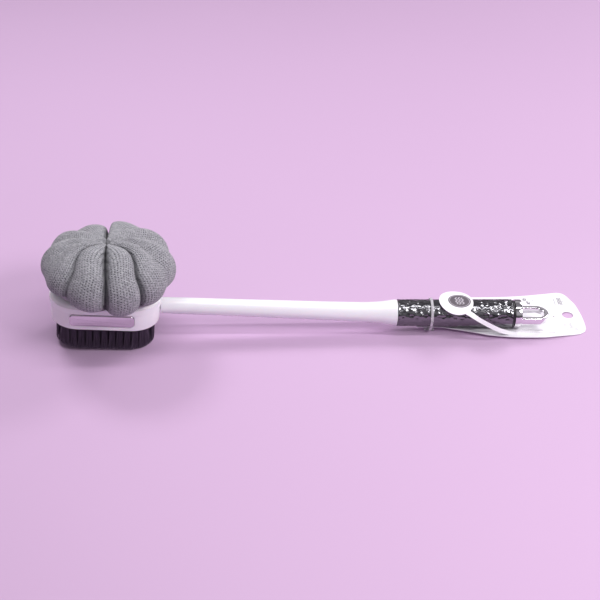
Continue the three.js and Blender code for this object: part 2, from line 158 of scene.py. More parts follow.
world = bpy.data.worlds.new("studio")
bpy.context.scene.world = world
world.use_nodes = True
room = world.node_tree.nodes
way = world.node_tree.links
heading = room.new("ShaderNodeTexCoord")
height = room.new("ShaderNodeSeparateXYZ")
walls = room.new("ShaderNodeValToRGB")
walls.color_ramp.elements[0].position, walls.color_ramp.elements[0].color = 0.5, (0.12, 0.10, 0.13, 1)
walls.color_ramp.elements[1].position, walls.color_ramp.elements[1].color = 1.0, (0.50, 0.48, 0.54, 1)
for position, tone in ((0.60, 0.22), (0.70, 0.85), (0.84, 0.95), (0.90, 0.45)):
    step = walls.color_ramp.elements.new(position)
    step.color = (tone * 0.97, tone * 0.93, tone, 1)
half = room.new("ShaderNodeMath")
half.operation = "MULTIPLY_ADD"
half.inputs[1].default_value = half.inputs[2].default_value = 0.5
way.new(heading.outputs["Generated"], height.inputs["Vector"])
way.new(height.outputs["Z"], half.inputs[0])
way.new(half.outputs[0], walls.inputs["Fac"])
way.new(walls.outputs["Color"], room["Background"].inputs["Color"])
room["Background"].inputs["Strength"].default_value = 0.48
bpy.context.scene.view_settings.view_transform = "Standard"

# ---------------------------------------------------------------------------------------------
# Bristle plate: a flat nylon moulding that holds the tufts. It is pressed up into the white shell,
# and its lower edge shows as a thin glossy line under the shell's rim.
def rounded_block(half_x, half_y, corner, bottom, top, edge=0.0, steps=14):
    """A block, in millimetres, with rounded upright corners and softened top and bottom edges."""
    bm = bmesh.new()
    bmesh.ops.create_cube(bm, size=1.0)
    bmesh.ops.scale(bm, vec=(2 * half_x, 2 * half_y, top - bottom), verts=bm.verts)
    bmesh.ops.translate(bm, vec=(0, 0, (top + bottom) / 2), verts=bm.verts)
    upright = [e for e in bm.edges if abs(e.verts[0].co.z - e.verts[1].co.z) > 0.01]
    bmesh.ops.bevel(bm, geom=upright, offset=corner, segments=steps, profile=0.5,
                    affect="EDGES", material=-1)
    if edge:
        rims = [e for e in bm.edges if abs(e.verts[0].co.z - e.verts[1].co.z) < 0.01]
        bmesh.ops.bevel(bm, geom=rims, offset=edge, segments=3, profile=0.5,
                        affect="EDGES", material=-1)
    return bm


def facing(bm, direction):
    """The largest face that looks along a direction."""
    direction = Vector(direction)
    bm.normal_update()
    turned = [f for f in bm.faces if f.normal.dot(direction) > 0.9]
    return max(turned, key=lambda f: f.calc_area())


def finished_piece(name, bm, material, body, replaced=(), place=Matrix.Identity(4), crease=32):
    """Turns a bmesh in millimetres into a smooth-shaded piece that rides on its body."""
    mesh = bpy.data.meshes.new(name)
    bm.to_mesh(mesh)
    bm.free()
    mesh.transform(place @ Matrix.Scale(MM, 4))
    mesh.shade_smooth()
    mesh.set_sharp_from_angle(angle=math.radians(crease))
    mesh.materials.append(material)
    made = add_object(name, mesh)
    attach(made, body)
    if replaced:
        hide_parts(*replaced)
    return made


def dark_moulding(name, colour, roughness):
    material, node, maths, blend_colours, set_surface = shader(name)
    place = node("ShaderNodeTexCoord").outputs["Object"]
    flow = node("ShaderNodeTexNoise", {"Vector": place, "Scale": 90.0, "Detail": 3.0})
    grain = node("ShaderNodeTexNoise", {"Vector": place, "Scale": 1600.0, "Detail": 2.0})
    lighter = tuple(c * 1.6 for c in colour[:3]) + (1,)
    rough = node("ShaderNodeMapRange", {"Value": flow.outputs["Fac"], "To Min": roughness - 0.06,
                                        "To Max": roughness + 0.1})
    relief = node("ShaderNodeBump", {"Height": grain.outputs["Fac"], "Strength": 0.25,
                                     "Distance": 0.00005})
    set_surface(base_color=blend_colours(flow.outputs["Fac"], colour, lighter),
                roughness=rough.outputs["Result"], normal=relief.outputs["Normal"])
    return material


plate_low, plate_high = (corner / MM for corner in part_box("bristle_plate"))
black_gloss = dark_moulding("black_gloss_nylon", (0.022, 0.016, 0.026, 1), 0.2)
PLATE_CORNER = 20.5
plate = rounded_block(plate_high.x, plate_high.y, PLATE_CORNER, plate_low.z, plate_high.z, edge=0.35)
finished_piece("bristle_plate_moulding", plate, black_gloss, "brush", ["bristle_plate"])

# ---------------------------------------------------------------------------------------------
# Bristle tufts: bundles of soft tapered nylon filaments, each folded in two and stapled into the
# plate. A tuft spreads towards its tips, so the tips close into one dense pad.
TUFT_PITCH = (5.9, 6.0)
# The rounded field that the tufts stand in: half length, half width and corner radius.
TUFT_FIELD = (35.6, 22.1, 18.4)
ROOT_RADIUS, ROOT_SHARE = 3.4, 0.93
FILAMENT_SPACING, FILAMENT_SCATTER = 0.78, 0.14
FILAMENT_ROOT, FILAMENT_TIP = 0.21, 0.15


def bristle_nylon():
    material, node, maths, blend_colours, set_surface = shader("aubergine_bristle_nylon")
    place = node("ShaderNodeTexCoord").outputs["Object"]
    strands = node("ShaderNodeMapping", {"Vector": place, "Scale": (900.0, 900.0, 14.0)})
    tone = node("ShaderNodeTexNoise", {"Vector": strands.outputs["Vector"], "Scale": 1.0,
                                       "Detail": 1.0})
    height = node("ShaderNodeSeparateXYZ", {"Vector": place}).outputs["Z"]
    tips = node("ShaderNodeMapRange", {"Value": height, "From Min": 0.0, "From Max": 0.006})
    body = blend_colours(tone.outputs["Fac"], (0.022, 0.014, 0.027, 1), (0.085, 0.058, 0.10, 1))
    shade = blend_colours(tips.outputs["Result"], (0.075, 0.054, 0.088, 1), body)
    rough = node("ShaderNodeMapRange", {"Value": tone.outputs["Fac"], "To Min": 0.34, "To Max": 0.5})
    set_surface(base_color=shade, roughness=rough.outputs["Result"])
    return material


def inside_outline(x, y, half_x, half_y, corner):
    """The point, or the nearest one to it inside a rounded rectangle."""
    core = Vector((max(-half_x + corner, min(half_x - corner, x)),
                   max(-half_y + corner, min(half_y - corner, y))))
    out = Vector((x, y)) - core
    if out.length > corner:
        out = out.normalized() * corner
    return core + out


def add_filament(bm, root, tip):
    """A tapered filament from its root in the plate to its free tip."""
    run = root - tip
    turn = run.to_track_quat("Z", "Y").to_matrix().to_4x4()
    bmesh.ops.create_cone(bm, cap_ends=True, segments=4, radius1=FILAMENT_TIP,
                          radius2=FILAMENT_ROOT, depth=run.length,
                          matrix=Matrix.Translation((root + tip) / 2) @ turn)


def join_into(whole, part):
    """Adds one bmesh to another and frees it."""
    mesh = bpy.data.meshes.new("part")
    part.to_mesh(mesh)
    part.free()
    whole.from_mesh(mesh)
    bpy.data.meshes.remove(mesh)


_, tips_high = (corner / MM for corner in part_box("bristle_tufts"))
TIP_OUTLINE = (tips_high.x - 0.4, tips_high.y - 0.4, 20.6)
chance = random.Random(11)
tuft_stands = [Vector((column * TUFT_PITCH[0], line * TUFT_PITCH[1]))
               for column in range(-6, 7) for line in range(-4, 5)]
tuft_stands = [stand for stand in tuft_stands
               if (inside_outline(*stand, *TUFT_FIELD) - stand).length < 0.9]
tuft_tips = [[] for _ in tuft_stands]
columns, lines = (int(half / FILAMENT_SPACING) + 1 for half in TIP_OUTLINE[:2])
for column in range(-columns, columns + 1):
    for line in range(-lines, lines + 1):
        wanted = Vector((column + 0.5 * (line % 2), line)) * FILAMENT_SPACING
        wanted += Vector([chance.gauss(0, FILAMENT_SCATTER) for _ in range(2)])
        closed = inside_outline(*wanted, *TIP_OUTLINE)
        if (closed - wanted).length < FILAMENT_SPACING:
            nearest = min(range(len(tuft_stands)), key=lambda i: (tuft_stands[i] - closed).length)
            tuft_tips[nearest].append(closed)

bristles = bmesh.new()
for stand, tips in zip(tuft_stands, tuft_tips):
    bundle = bmesh.new()
    for tip in tips:
        out = (tip - stand) * ROOT_SHARE
        out *= min(1.0, ROOT_RADIUS / max(out.length, 1e-6))
        add_filament(bundle, Vector((*(stand + out), tips_high.z)),
                     Vector((*tip, chance.uniform(0.0, 0.25))))
    join_into(bristles, bundle)
finished_piece("bristle_filaments", bristles, bristle_nylon(), "brush", ["bristle_tufts"])

# ---------------------------------------------------------------------------------------------
# Head shell: the lower half of the head, a white injection moulding with a screw floor inside and a
# recess in its front for the bright bar. The bristle plate presses into it from below.
WALL = 2.0
FLOOR_BOTTOM, FLOOR_TOP = 20.9, 22.7
BAR_CORNER = 3.2
SCREW_PLACES = [(30, 14), (-30, 14), (-30, -14), (30, -14), (29, 0)]
SCREW_HOLE, SCREW_SEAT = 1.5, 2.7
NECK_Z, NECK_HOLE = 26.6, 3.9


def white_plastic(name, tone, roughness):
    """Glossy moulded plastic: faint flow clouds, a light orange peel, and rubbed patches."""
    material, node, maths, blend_colours, set_surface = shader(name)
    place = node("ShaderNodeTexCoord").outputs["Object"]
    flow = node("ShaderNodeTexNoise", {"Vector": place, "Scale": 22.0, "Detail": 3.0})
    peel = node("ShaderNodeTexNoise", {"Vector": place, "Scale": 420.0, "Detail": 2.0})
    rubs = node("ShaderNodeTexNoise", {"Vector": place, "Scale": 130.0, "Detail": 5.0,
                                       "Roughness": 0.7})
    cooler = (tone[0] * 0.965, tone[1] * 0.96, tone[2] * 0.985, 1)
    rough = node("ShaderNodeMapRange", {"Value": rubs.outputs["Fac"], "From Min": 0.35,
                                        "From Max": 0.75, "To Min": roughness - 0.04,
                                        "To Max": roughness + 0.12})
    relief = node("ShaderNodeBump", {"Height": peel.outputs["Fac"], "Strength": 0.18,
                                     "Distance": 0.00008})
    set_surface(base_color=blend_colours(flow.outputs["Fac"], tone, cooler),
                roughness=rough.outputs["Result"], normal=relief.outputs["Normal"],
                subsurface_weight=0.08, subsurface_scale=0.002)
    return material


def carved(blank, tool):
    """What is left of one closed bmesh when another is cut out of it."""
    objects = []
    for name, source in (("blank", blank), ("tool", tool)):
        bmesh.ops.recalc_face_normals(source, faces=source.faces)
        mesh = bpy.data.meshes.new(name)
        source.to_mesh(mesh)
        source.free()
        objects.append(add_object(name, mesh))
    cutting = objects[0].modifiers.new("cut", "BOOLEAN")
    cutting.operation, cutting.solver, cutting.object = "DIFFERENCE", "EXACT", objects[1]
    result = bmesh.new()
    result.from_object(objects[0], bpy.context.evaluated_depsgraph_get())
    for item in objects:
        bpy.data.meshes.remove(item.data)
    return result


def rod(bm, start, end, radius, segments=40):
    """Adds a closed rod between two points to a bmesh."""
    start, end = Vector(start), Vector(end)
    turn = (end - start).to_track_quat("Z", "Y").to_matrix().to_4x4()
    bmesh.ops.create_cone(bm, cap_ends=True, segments=segments, radius1=radius, radius2=radius,
                          depth=(end - start).length,
                          matrix=Matrix.Translation((start + end) / 2) @ turn)


def bar_block(half_length, half_height, corner, back, front, edge=0.0):
    """A block for the front of the head: its rounded outline stands upright and faces -Y."""
    bm = rounded_block(half_length, half_height, corner, -back, -front, edge=edge, steps=6)
    bmesh.ops.rotate(bm, matrix=Matrix.Rotation(math.pi / 2, 3, "X"), verts=bm.verts)
    return bm


shell_low, shell_high = (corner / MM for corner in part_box("head_shell"))
bar_low, bar_high = (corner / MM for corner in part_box("chrome_bar"))
bar_middle, bar_half = (bar_low + bar_high) / 2, (bar_high - bar_low) / 2
SHELL_X, SHELL_Y, SHELL_CORNER = shell_high.x, -shell_low.y, 22
shell = rounded_block(SHELL_X, SHELL_Y, SHELL_CORNER, shell_low.z, shell_high.z, edge=0.35, steps=20)
hollow = facing(shell, (0, 0, 1))
bmesh.ops.inset_region(shell, faces=[hollow], thickness=WALL - 0.3)
pushed = bmesh.ops.extrude_discrete_faces(shell, faces=[hollow])["faces"]
bmesh.ops.translate(shell, vec=(0, 0, FLOOR_TOP - shell_high.z), verts=pushed[0].verts)
recess = facing(shell, (0, 0, -1))
bmesh.ops.inset_region(shell, faces=[recess], thickness=WALL - 0.65)
pushed = bmesh.ops.extrude_discrete_faces(shell, faces=[recess])["faces"]
bmesh.ops.translate(shell, vec=(0, 0, FLOOR_BOTTOM - shell_low.z), verts=pushed[0].verts)

cores = bar_block(bar_half.x + 0.25, bar_half.z + 0.25, BAR_CORNER, -SHELL_Y + 1.0, -SHELL_Y - 3)
bmesh.ops.translate(cores, vec=(bar_middle.x, 0, bar_middle.z), verts=cores.verts)
rod(cores, (SHELL_X - 4, 0, NECK_Z), (SHELL_X + 1, 0, NECK_Z), NECK_HOLE)
for x, y in SCREW_PLACES:
    rod(cores, (x, y, FLOOR_BOTTOM - 0.4), (x, y, FLOOR_TOP + 0.4), SCREW_HOLE, segments=16)
    rod(cores, (x, y, FLOOR_BOTTOM - 0.5), (x, y, FLOOR_BOTTOM + 1.2), SCREW_SEAT, segments=16)
shell_white = white_plastic("shell_white_plastic", (0.90, 0.88, 0.90, 1), 0.18)
finished_piece("head_shell_moulding", carved(shell, cores), shell_white, "brush",
               ["head_shell"])

# ---------------------------------------------------------------------------------------------
# Head cover: the upper half of the head. It stands a little proud of the shell at the seam, rises to
# a crisp line, and rolls over to the top that the puff sits on. Four bosses take the screws.
COVER_CORNER = 23
CREASE_Z = 38.7
ROLL = 4.6
PLUG_HOLE, PLUG_TUBE = 7.3, 6.5
BOSS_RADIUS = 3.4

_, cover_high = (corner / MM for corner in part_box("head_cover"))
seam_z = shell_high.z + 0.3
cover = rounded_block(cover_high.x, cover_high.y, COVER_CORNER, seam_z, CREASE_Z, steps=22)
top = facing(cover, (0, 0, 1))
bmesh.ops.delete(cover, geom=[facing(cover, (0, 0, -1))], context="FACES_ONLY")
bmesh.ops.inset_region(cover, faces=[top], thickness=0.25, depth=0.12)
bmesh.ops.inset_region(cover, faces=[top], thickness=0.2, depth=-0.15)
rise = cover_high.z - CREASE_Z
ROLL_STEPS = 9
for step in range(ROLL_STEPS):
    before, after = (math.pi / 2 * (step + i) / ROLL_STEPS for i in range(2))
    inward = ROLL * (math.cos(before) - math.cos(after))
    upward = rise * (math.sin(after) - math.sin(before))
    bmesh.ops.inset_region(cover, faces=[top], thickness=inward, depth=upward)
ring_count = len(top.verts)
outer_ring = list(top.edges)
top_z = top.calc_center_median().z
bmesh.ops.delete(cover, geom=[top], context="FACES_ONLY")
hole = bmesh.ops.create_circle(cover, cap_ends=False, segments=ring_count, radius=PLUG_HOLE,
                               matrix=Matrix.Translation((0, 0, top_z)))["verts"]
hole_ring = list({e for v in hole for e in v.link_edges})
bmesh.ops.bridge_loops(cover, edges=outer_ring + hole_ring)
tube_end = bmesh.ops.extrude_edge_only(cover, edges=hole_ring)["geom"]
low_verts = [g for g in tube_end if isinstance(g, bmesh.types.BMVert)]
bmesh.ops.translate(cover, vec=(0, 0, -PLUG_TUBE), verts=low_verts)
bmesh.ops.recalc_face_normals(cover, faces=cover.faces)
if facing(cover, (0, -1, 0)).calc_center_median().y > 0:
    bmesh.ops.reverse_faces(cover, faces=cover.faces)
bmesh.ops.solidify(cover, geom=cover.faces[:], thickness=WALL)
for x, y in SCREW_PLACES[:4]:
    rod(cover, (x, y, FLOOR_TOP + 0.3), (x, y, top_z - WALL + 0.2), BOSS_RADIUS, segments=24)
cover_white = white_plastic("cover_white_plastic", (0.93, 0.92, 0.93, 1), 0.13)
finished_piece("head_cover_moulding", cover, cover_white, "brush", ["head_cover"])

# ---------------------------------------------------------------------------------------------
# Bright bar: a mirror-finished strip pressed into the front of the shell, slightly crowned, with a
# rolled edge all round.
def plated(name, colour, roughness, scratches=0.05):
    """Bright plating: nearly a mirror, with fine polishing marks and a breath of haze."""
    material, node, maths, blend_colours, set_surface = shader(name)
    place = node("ShaderNodeTexCoord").outputs["Object"]
    drawn = node("ShaderNodeMapping", {"Vector": place, "Scale": (60.0, 2600.0, 2600.0)})
    marks = node("ShaderNodeTexNoise", {"Vector": drawn.outputs["Vector"], "Scale": 1.0,
                                        "Detail": 3.0})
    haze = node("ShaderNodeTexNoise", {"Vector": place, "Scale": 150.0, "Detail": 4.0})
    both = maths("ADD", maths("MULTIPLY", marks.outputs["Fac"], 0.5),
                  maths("MULTIPLY", haze.outputs["Fac"], 0.5))
    rough = node("ShaderNodeMapRange", {"Value": both, "From Min": 0.35, "From Max": 0.65,
                                        "To Min": roughness, "To Max": roughness + scratches})
    darker = tuple(c * 0.9 for c in colour[:3]) + (1,)
    relief = node("ShaderNodeBump", {"Height": marks.outputs["Fac"], "Strength": 0.05,
                                     "Distance": 0.00001})
    set_surface(base_color=blend_colours(haze.outputs["Fac"], colour, darker), metallic=1.0,
                roughness=rough.outputs["Result"], normal=relief.outputs["Normal"])
    return material


bar = bar_block(bar_half.x, bar_half.z, BAR_CORNER, bar_high.y, bar_low.y + 0.25)
front = facing(bar, (0, -1, 0))
bmesh.ops.bevel(bar, geom=list(front.edges), offset=0.85, segments=4, profile=0.5,
                affect="EDGES", material=-1)
front = facing(bar, (0, -1, 0))
for width, rise in ((0.6, 0.14), (0.8, 0.12), (1.0, 0.08)):
    bmesh.ops.inset_region(bar, faces=[front], thickness=width, depth=rise)
bmesh.ops.translate(bar, vec=(bar_middle.x, 0, bar_middle.z), verts=bar.verts)
bright = plated("mirror_plate", (0.66, 0.62, 0.67, 1), 0.03, scratches=0.03)
finished_piece("bright_bar", bar, bright, "brush", ["chrome_bar"], crease=40)

# ---------------------------------------------------------------------------------------------
# Screws: small plated self-tapping screws up through the floor, four into the cover's bosses and one
# into the handle's spigot. The bristle plate hides them.
def screw_steel():
    material, node, maths, blend_colours, set_surface = shader("zinc_plated_screw")
    place = node("ShaderNodeTexCoord").outputs["Object"]
    spangle = node("ShaderNodeTexVoronoi", {"Vector": place, "Scale": 1400.0})
    thread = node("ShaderNodeTexWave", {"Vector": place, "Scale": 320.0}, bands_direction="Z")
    relief = node("ShaderNodeBump", {"Height": thread.outputs["Fac"], "Strength": 0.6,
                                     "Distance": 0.0002})
    tint = blend_colours(spangle.outputs["Distance"], (0.55, 0.55, 0.57, 1), (0.4, 0.4, 0.42, 1))
    set_surface(base_color=tint, metallic=1.0, roughness=0.32, normal=relief.outputs["Normal"])
    return material


def give_finish(material, *nodes):
    for name in nodes:
        frame["nodes"][name].data.materials.clear()
        frame["nodes"][name].data.materials.append(material)


give_finish(screw_steel(), "neck_screw", *[f"cover_screw_{i}" for i in range(1, 5)])

# ---------------------------------------------------------------------------------------------
# Puff: a bag of grey mesh knit drawn over a foam core and tied down through its middle, which
# gathers it into ten lobes. Deep sewn creases run front and back, with softer ones between them.
PUFF_RING, PUFF_REACH, PUFF_MIDDLE = 14.2, 38.8, 60.2
PUFF_RADIUS = PUFF_RING + PUFF_REACH
MOUTH = (16.3, 1.7)
PRESSED = 0.8
TOP_STEPS = 8
CENTRE_TOP, CENTRE_BOTTOM = 82.4, 75.5
# Each crease: its direction in degrees, its depth, and how softly it opens, from 0 to 1. Each lobe,
# counted from the first crease: how far it swells, and how far its outer edge hangs.
CREASES = [(-90, 11.0, 0.0), (-54, 6.6, 0.1), (-18, 2.6, 0.9), (18, 1.6, 1.0), (54, 1.1, 1.0),
           (90, 10.0, 0.0), (126, 3.0, 0.8), (162, 2.2, 0.9), (198, 2.0, 1.0), (234, 4.6, 0.35)]
LOBE_SWELL = [1.6, 0.2, 0.7, 1.8, 0.2, 0.2, 0.2, 0.2, 0.0, 1.2]
LOBE_DROOP = [1.4, 1.2, 1.0, 1.0, 1.0, -1.5, -4.0, -6.0, -5.5, -2.2]
# How much the left back of the puff is flattened, by direction in degrees.
FLATTENED = [(90, 6.4), (126, 3.2), (162, 1.6), (198, 1.0), (234, 0.4), (270, 0.0)]
SQUARENESS = 3.0
# In degrees: the turn of the front lobes' ends, how far the creases beside them open near the
# centre, and how far round the puff that opening is felt.
TWIST, PETAL, PETAL_END = 2.4, 24.0, 110
LOBE_ANGLE = 360 / len(CREASES)
LOBE_STEPS, SIDE_STEPS = 16, 56
WALES, COURSE = 14, 2.0
PIT_DEPTH = 0.32
STUFFING_LIMIT = 3.0

puff_low, puff_high = (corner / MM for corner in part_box("puff_cover"))


def smooth_step(value, low, high):
    share = max(0.0, min(1.0, (value - low) / (high - low)))
    return share * share * (3 - 2 * share)


def puff_outline():
    """Points (radius, height): the closed bottom, the mouth's fold, round the side, down the middle."""
    lift, rise = PUFF_MIDDLE - puff_low.z, puff_high.z - PUFF_MIDDLE
    start = -math.acos(((MOUTH[0] - PUFF_RING) / PUFF_REACH) ** (1 / PRESSED))
    points = [(r, puff_low.z + MOUTH[1]) for r in (0, 4, 8, 12, MOUTH[0] - 0.6)]
    for i in range(SIDE_STEPS + 1):
        angle = start + (math.pi / 2 - start) * i / SIDE_STEPS
        out, up = max(math.cos(angle), 0.0), math.sin(angle)
        if angle < 0:
            points.append((PUFF_RING + PUFF_REACH * out ** PRESSED,
                           PUFF_MIDDLE - lift * (-up) ** PRESSED))
        else:
            points.append((PUFF_RING + PUFF_REACH * out, PUFF_MIDDLE + rise * up))
    for i in range(1, TOP_STEPS):
        share = i / TOP_STEPS
        points.append((PUFF_RING * (1 - share) + share,
                       puff_high.z - (puff_high.z - CENTRE_TOP) * share ** 2))
    return points + [(0.7, (CENTRE_TOP + CENTRE_BOTTOM) / 2), (0, CENTRE_BOTTOM)]


def place_in_lobe(co):
    """The lobe a point is on, and how far it is across that lobe, from 0 to 1."""
    turn = (math.degrees(math.atan2(co.y, co.x)) - CREASES[0][0]) % 360 / LOBE_ANGLE
    lobe = int(turn + 1e-6) % len(CREASES)
    return lobe, max(0.0, min(1.0, turn - int(turn + 1e-6)))


def nearest_crease(co):
    """The crease next to a point, and how far towards the lobe's crown the point is, from 0 to 1."""
    lobe, share = place_in_lobe(co)
    nearest = CREASES[lobe if share < 0.5 else (lobe + 1) % len(CREASES)]
    return nearest, 2 * min(share, 1 - share)


def flattening(co):
    """How much lower a point lies for being on the flattened side."""
    turn = math.degrees(math.atan2(co.y, co.x)) % 360
    for (first, before), (last, after) in zip(FLATTENED, FLATTENED[1:]):
        if first <= turn <= last:
            return before + (after - before) * (turn - first) / (last - first)
    return 0.0


def petal_spread(co):
    """How far a point moves round as the two front lobes widen near the centre, from -1 to 1."""
    radius = co.xy.length
    off = (math.degrees(math.atan2(co.y, co.x)) + 270) % 360 - 180
    side, away = math.copysign(1, off), abs(off)
    if away > PETAL_END:
        return 0.0
    if away < LOBE_ANGLE:
        ramp = math.sin(math.pi / 2 * away / LOBE_ANGLE)
    else:
        ramp = math.cos(math.pi / 2 * (away - LOBE_ANGLE) / (PETAL_END - LOBE_ANGLE))
    top = smooth_step(co.z, PUFF_MIDDLE, PUFF_MIDDLE + 10)
    return side * ramp * top * smooth_step(radius, 1, 10) * (1 - smooth_step(radius, 14, 46))


def gathered(co, normal):
    """Where a point of the plain round bag goes when the bag is gathered into lobes."""
    (_, depth, softness), crown = nearest_crease(co)
    lobe, share = place_in_lobe(co)
    radius = co.xy.length
    power = SQUARENESS * (1 - softness) + 2 * softness
    round_drop = 1 - max(0.0, 1 - (1 - crown) ** power) ** (1 / power)
    soft_drop = 0.5 + 0.5 * math.cos(math.pi * crown)
    drop = depth * ((1 - softness) * round_drop + softness * soft_drop)
    sewn = 0.5 + 0.5 * smooth_step(radius, 1.0, 20.0)
    loose = smooth_step(radius, 12.0, 38.0)
    drop *= sewn * (1 - min(1.0, 1.4 * softness)) + loose * min(1.0, 1.4 * softness)
    under = smooth_step(co.z, puff_low.z + 0.5, puff_low.z + 7)
    swell = LOBE_SWELL[lobe] * math.sin(math.pi * share) * smooth_step(radius, 6, 22)
    moved = co + normal * ((swell - drop) * under * min(1.0, radius / 8))
    hang = smooth_step(radius, 36, 50) * (1 - smooth_step(co.z, puff_low.z + 4, PUFF_MIDDLE))
    both = LOBE_DROOP[lobe], LOBE_DROOP[(lobe + (1 if share > 0.5 else -1)) % len(CREASES)]
    own = min(1.0, 0.5 + 2 * crown) if softness > 0.5 else 1.0
    moved.z -= (both[0] * own + both[1] * (1 - own)) * hang
    front = smooth_step(-co.y / max(radius, 1e-6), 0.8, 1.0) * smooth_step(radius, 5, 45)
    turn = TWIST * front + PETAL * petal_spread(co)
    moved.xy = Matrix.Rotation(math.radians(turn), 2) @ moved.xy
    leftward = 0.5 - 0.5 * co.x / max(radius, 1e-6)
    moved.x *= 1 - 0.06 * leftward * smooth_step(radius, 15, 50)
    moved.z -= flattening(co) * smooth_step(co.z, PUFF_MIDDLE, puff_high.z) * smooth_step(radius, 3, 14)
    return moved


def plain_bag():
    """The bag before it is gathered, with its courses and wales counted in a UV map."""
    bm = bmesh.new()
    course = bm.verts.layers.float.new("course")
    # Painted shade for the hard sewn creases, kept per vertex.
    crease_shade = bm.verts.layers.float.new("crease_shade")
    stitches = bm.loops.layers.uv.new("stitches")
    outline = [bm.verts.new((radius, 0, height)) for radius, height in puff_outline()]
    for lower, upper in zip(outline, outline[1:]):
        bm.edges.new((lower, upper))
        upper[course] = lower[course] + (upper.co - lower.co).length / COURSE
    bmesh.ops.rotate(bm, matrix=Matrix.Rotation(math.radians(CREASES[0][0]), 3, "Z"), verts=bm.verts)
    bmesh.ops.spin(bm, geom=bm.verts[:] + bm.edges[:], axis=(0, 0, 1), angle=2 * math.pi,
                   steps=LOBE_STEPS * len(CREASES), use_merge=True)
    bmesh.ops.remove_doubles(bm, verts=bm.verts, dist=1e-4)
    bmesh.ops.recalc_face_normals(bm, faces=bm.faces)
    bm.normal_update()
    # Painted shade: a weight that is strongest on the hard crease lines and fades towards the lobes'
    # crowns.
    for vert in bm.verts:
        (_, _, softness), crown = nearest_crease(vert.co)
        vert[crease_shade] = max(0.0, 1 - 3.5 * crown) * (1 - softness)
    for face in bm.faces:
        lobe, share = place_in_lobe(face.calc_center_median())
        for loop in face.loops:
            vert_lobe, vert_share = place_in_lobe(loop.vert.co)
            if loop.vert.co.xy.length < 1e-3:
                vert_share = share
            elif vert_lobe != lobe:
                vert_share = round(share)
            bunched = WALES * math.sqrt(min(1.0, loop.vert.co.xy.length / PUFF_RADIUS))
            loop[stitches].uv = ((vert_share - 0.5) * bunched, loop.vert[course])
    return bm


def stuffed(bag):
    """Fills the bag: cloth under pressure, held along its creases, its mouth and its middle."""
    held = bag.vertex_groups.new(name="stitched_down")
    start = [v.co.copy() for v in bag.data.vertices]
    for vert in bag.data.vertices:
        (_, _, softness), crown = nearest_crease(vert.co)
        grip = max(0.0, 1 - crown * 4) * (1 - softness * 0.6)
        if vert.co.xy.length < 4 * MM or vert.co.z < (puff_low.z + 2) * MM:
            grip = 1.0
        held.add([vert.index], grip, "REPLACE")
    cloth = bag.modifiers.new("stuffing", "CLOTH")
    cloth.settings.vertex_group_mass = held.name
    cloth.settings.effector_weights.gravity = 0
    cloth.settings.use_pressure = True
    cloth.settings.uniform_pressure_force = 4
    cloth.point_cache.frame_start, cloth.point_cache.frame_end = 1, 20
    for frame_number in range(1, 21):
        bpy.context.scene.frame_set(frame_number)
    filled = bag.evaluated_get(bpy.context.evaluated_depsgraph_get()).to_mesh()
    ends = [v.co.copy() for v in filled.vertices]
    bag.modifiers.remove(cloth)
    bag.vertex_groups.remove(held)
    bpy.context.scene.frame_set(1)
    for vert, first, last in zip(bag.data.vertices, start, ends):
        move = last - first
        vert.co = first + move * min(1.0, STUFFING_LIMIT * MM / max(move.length, 1e-9))


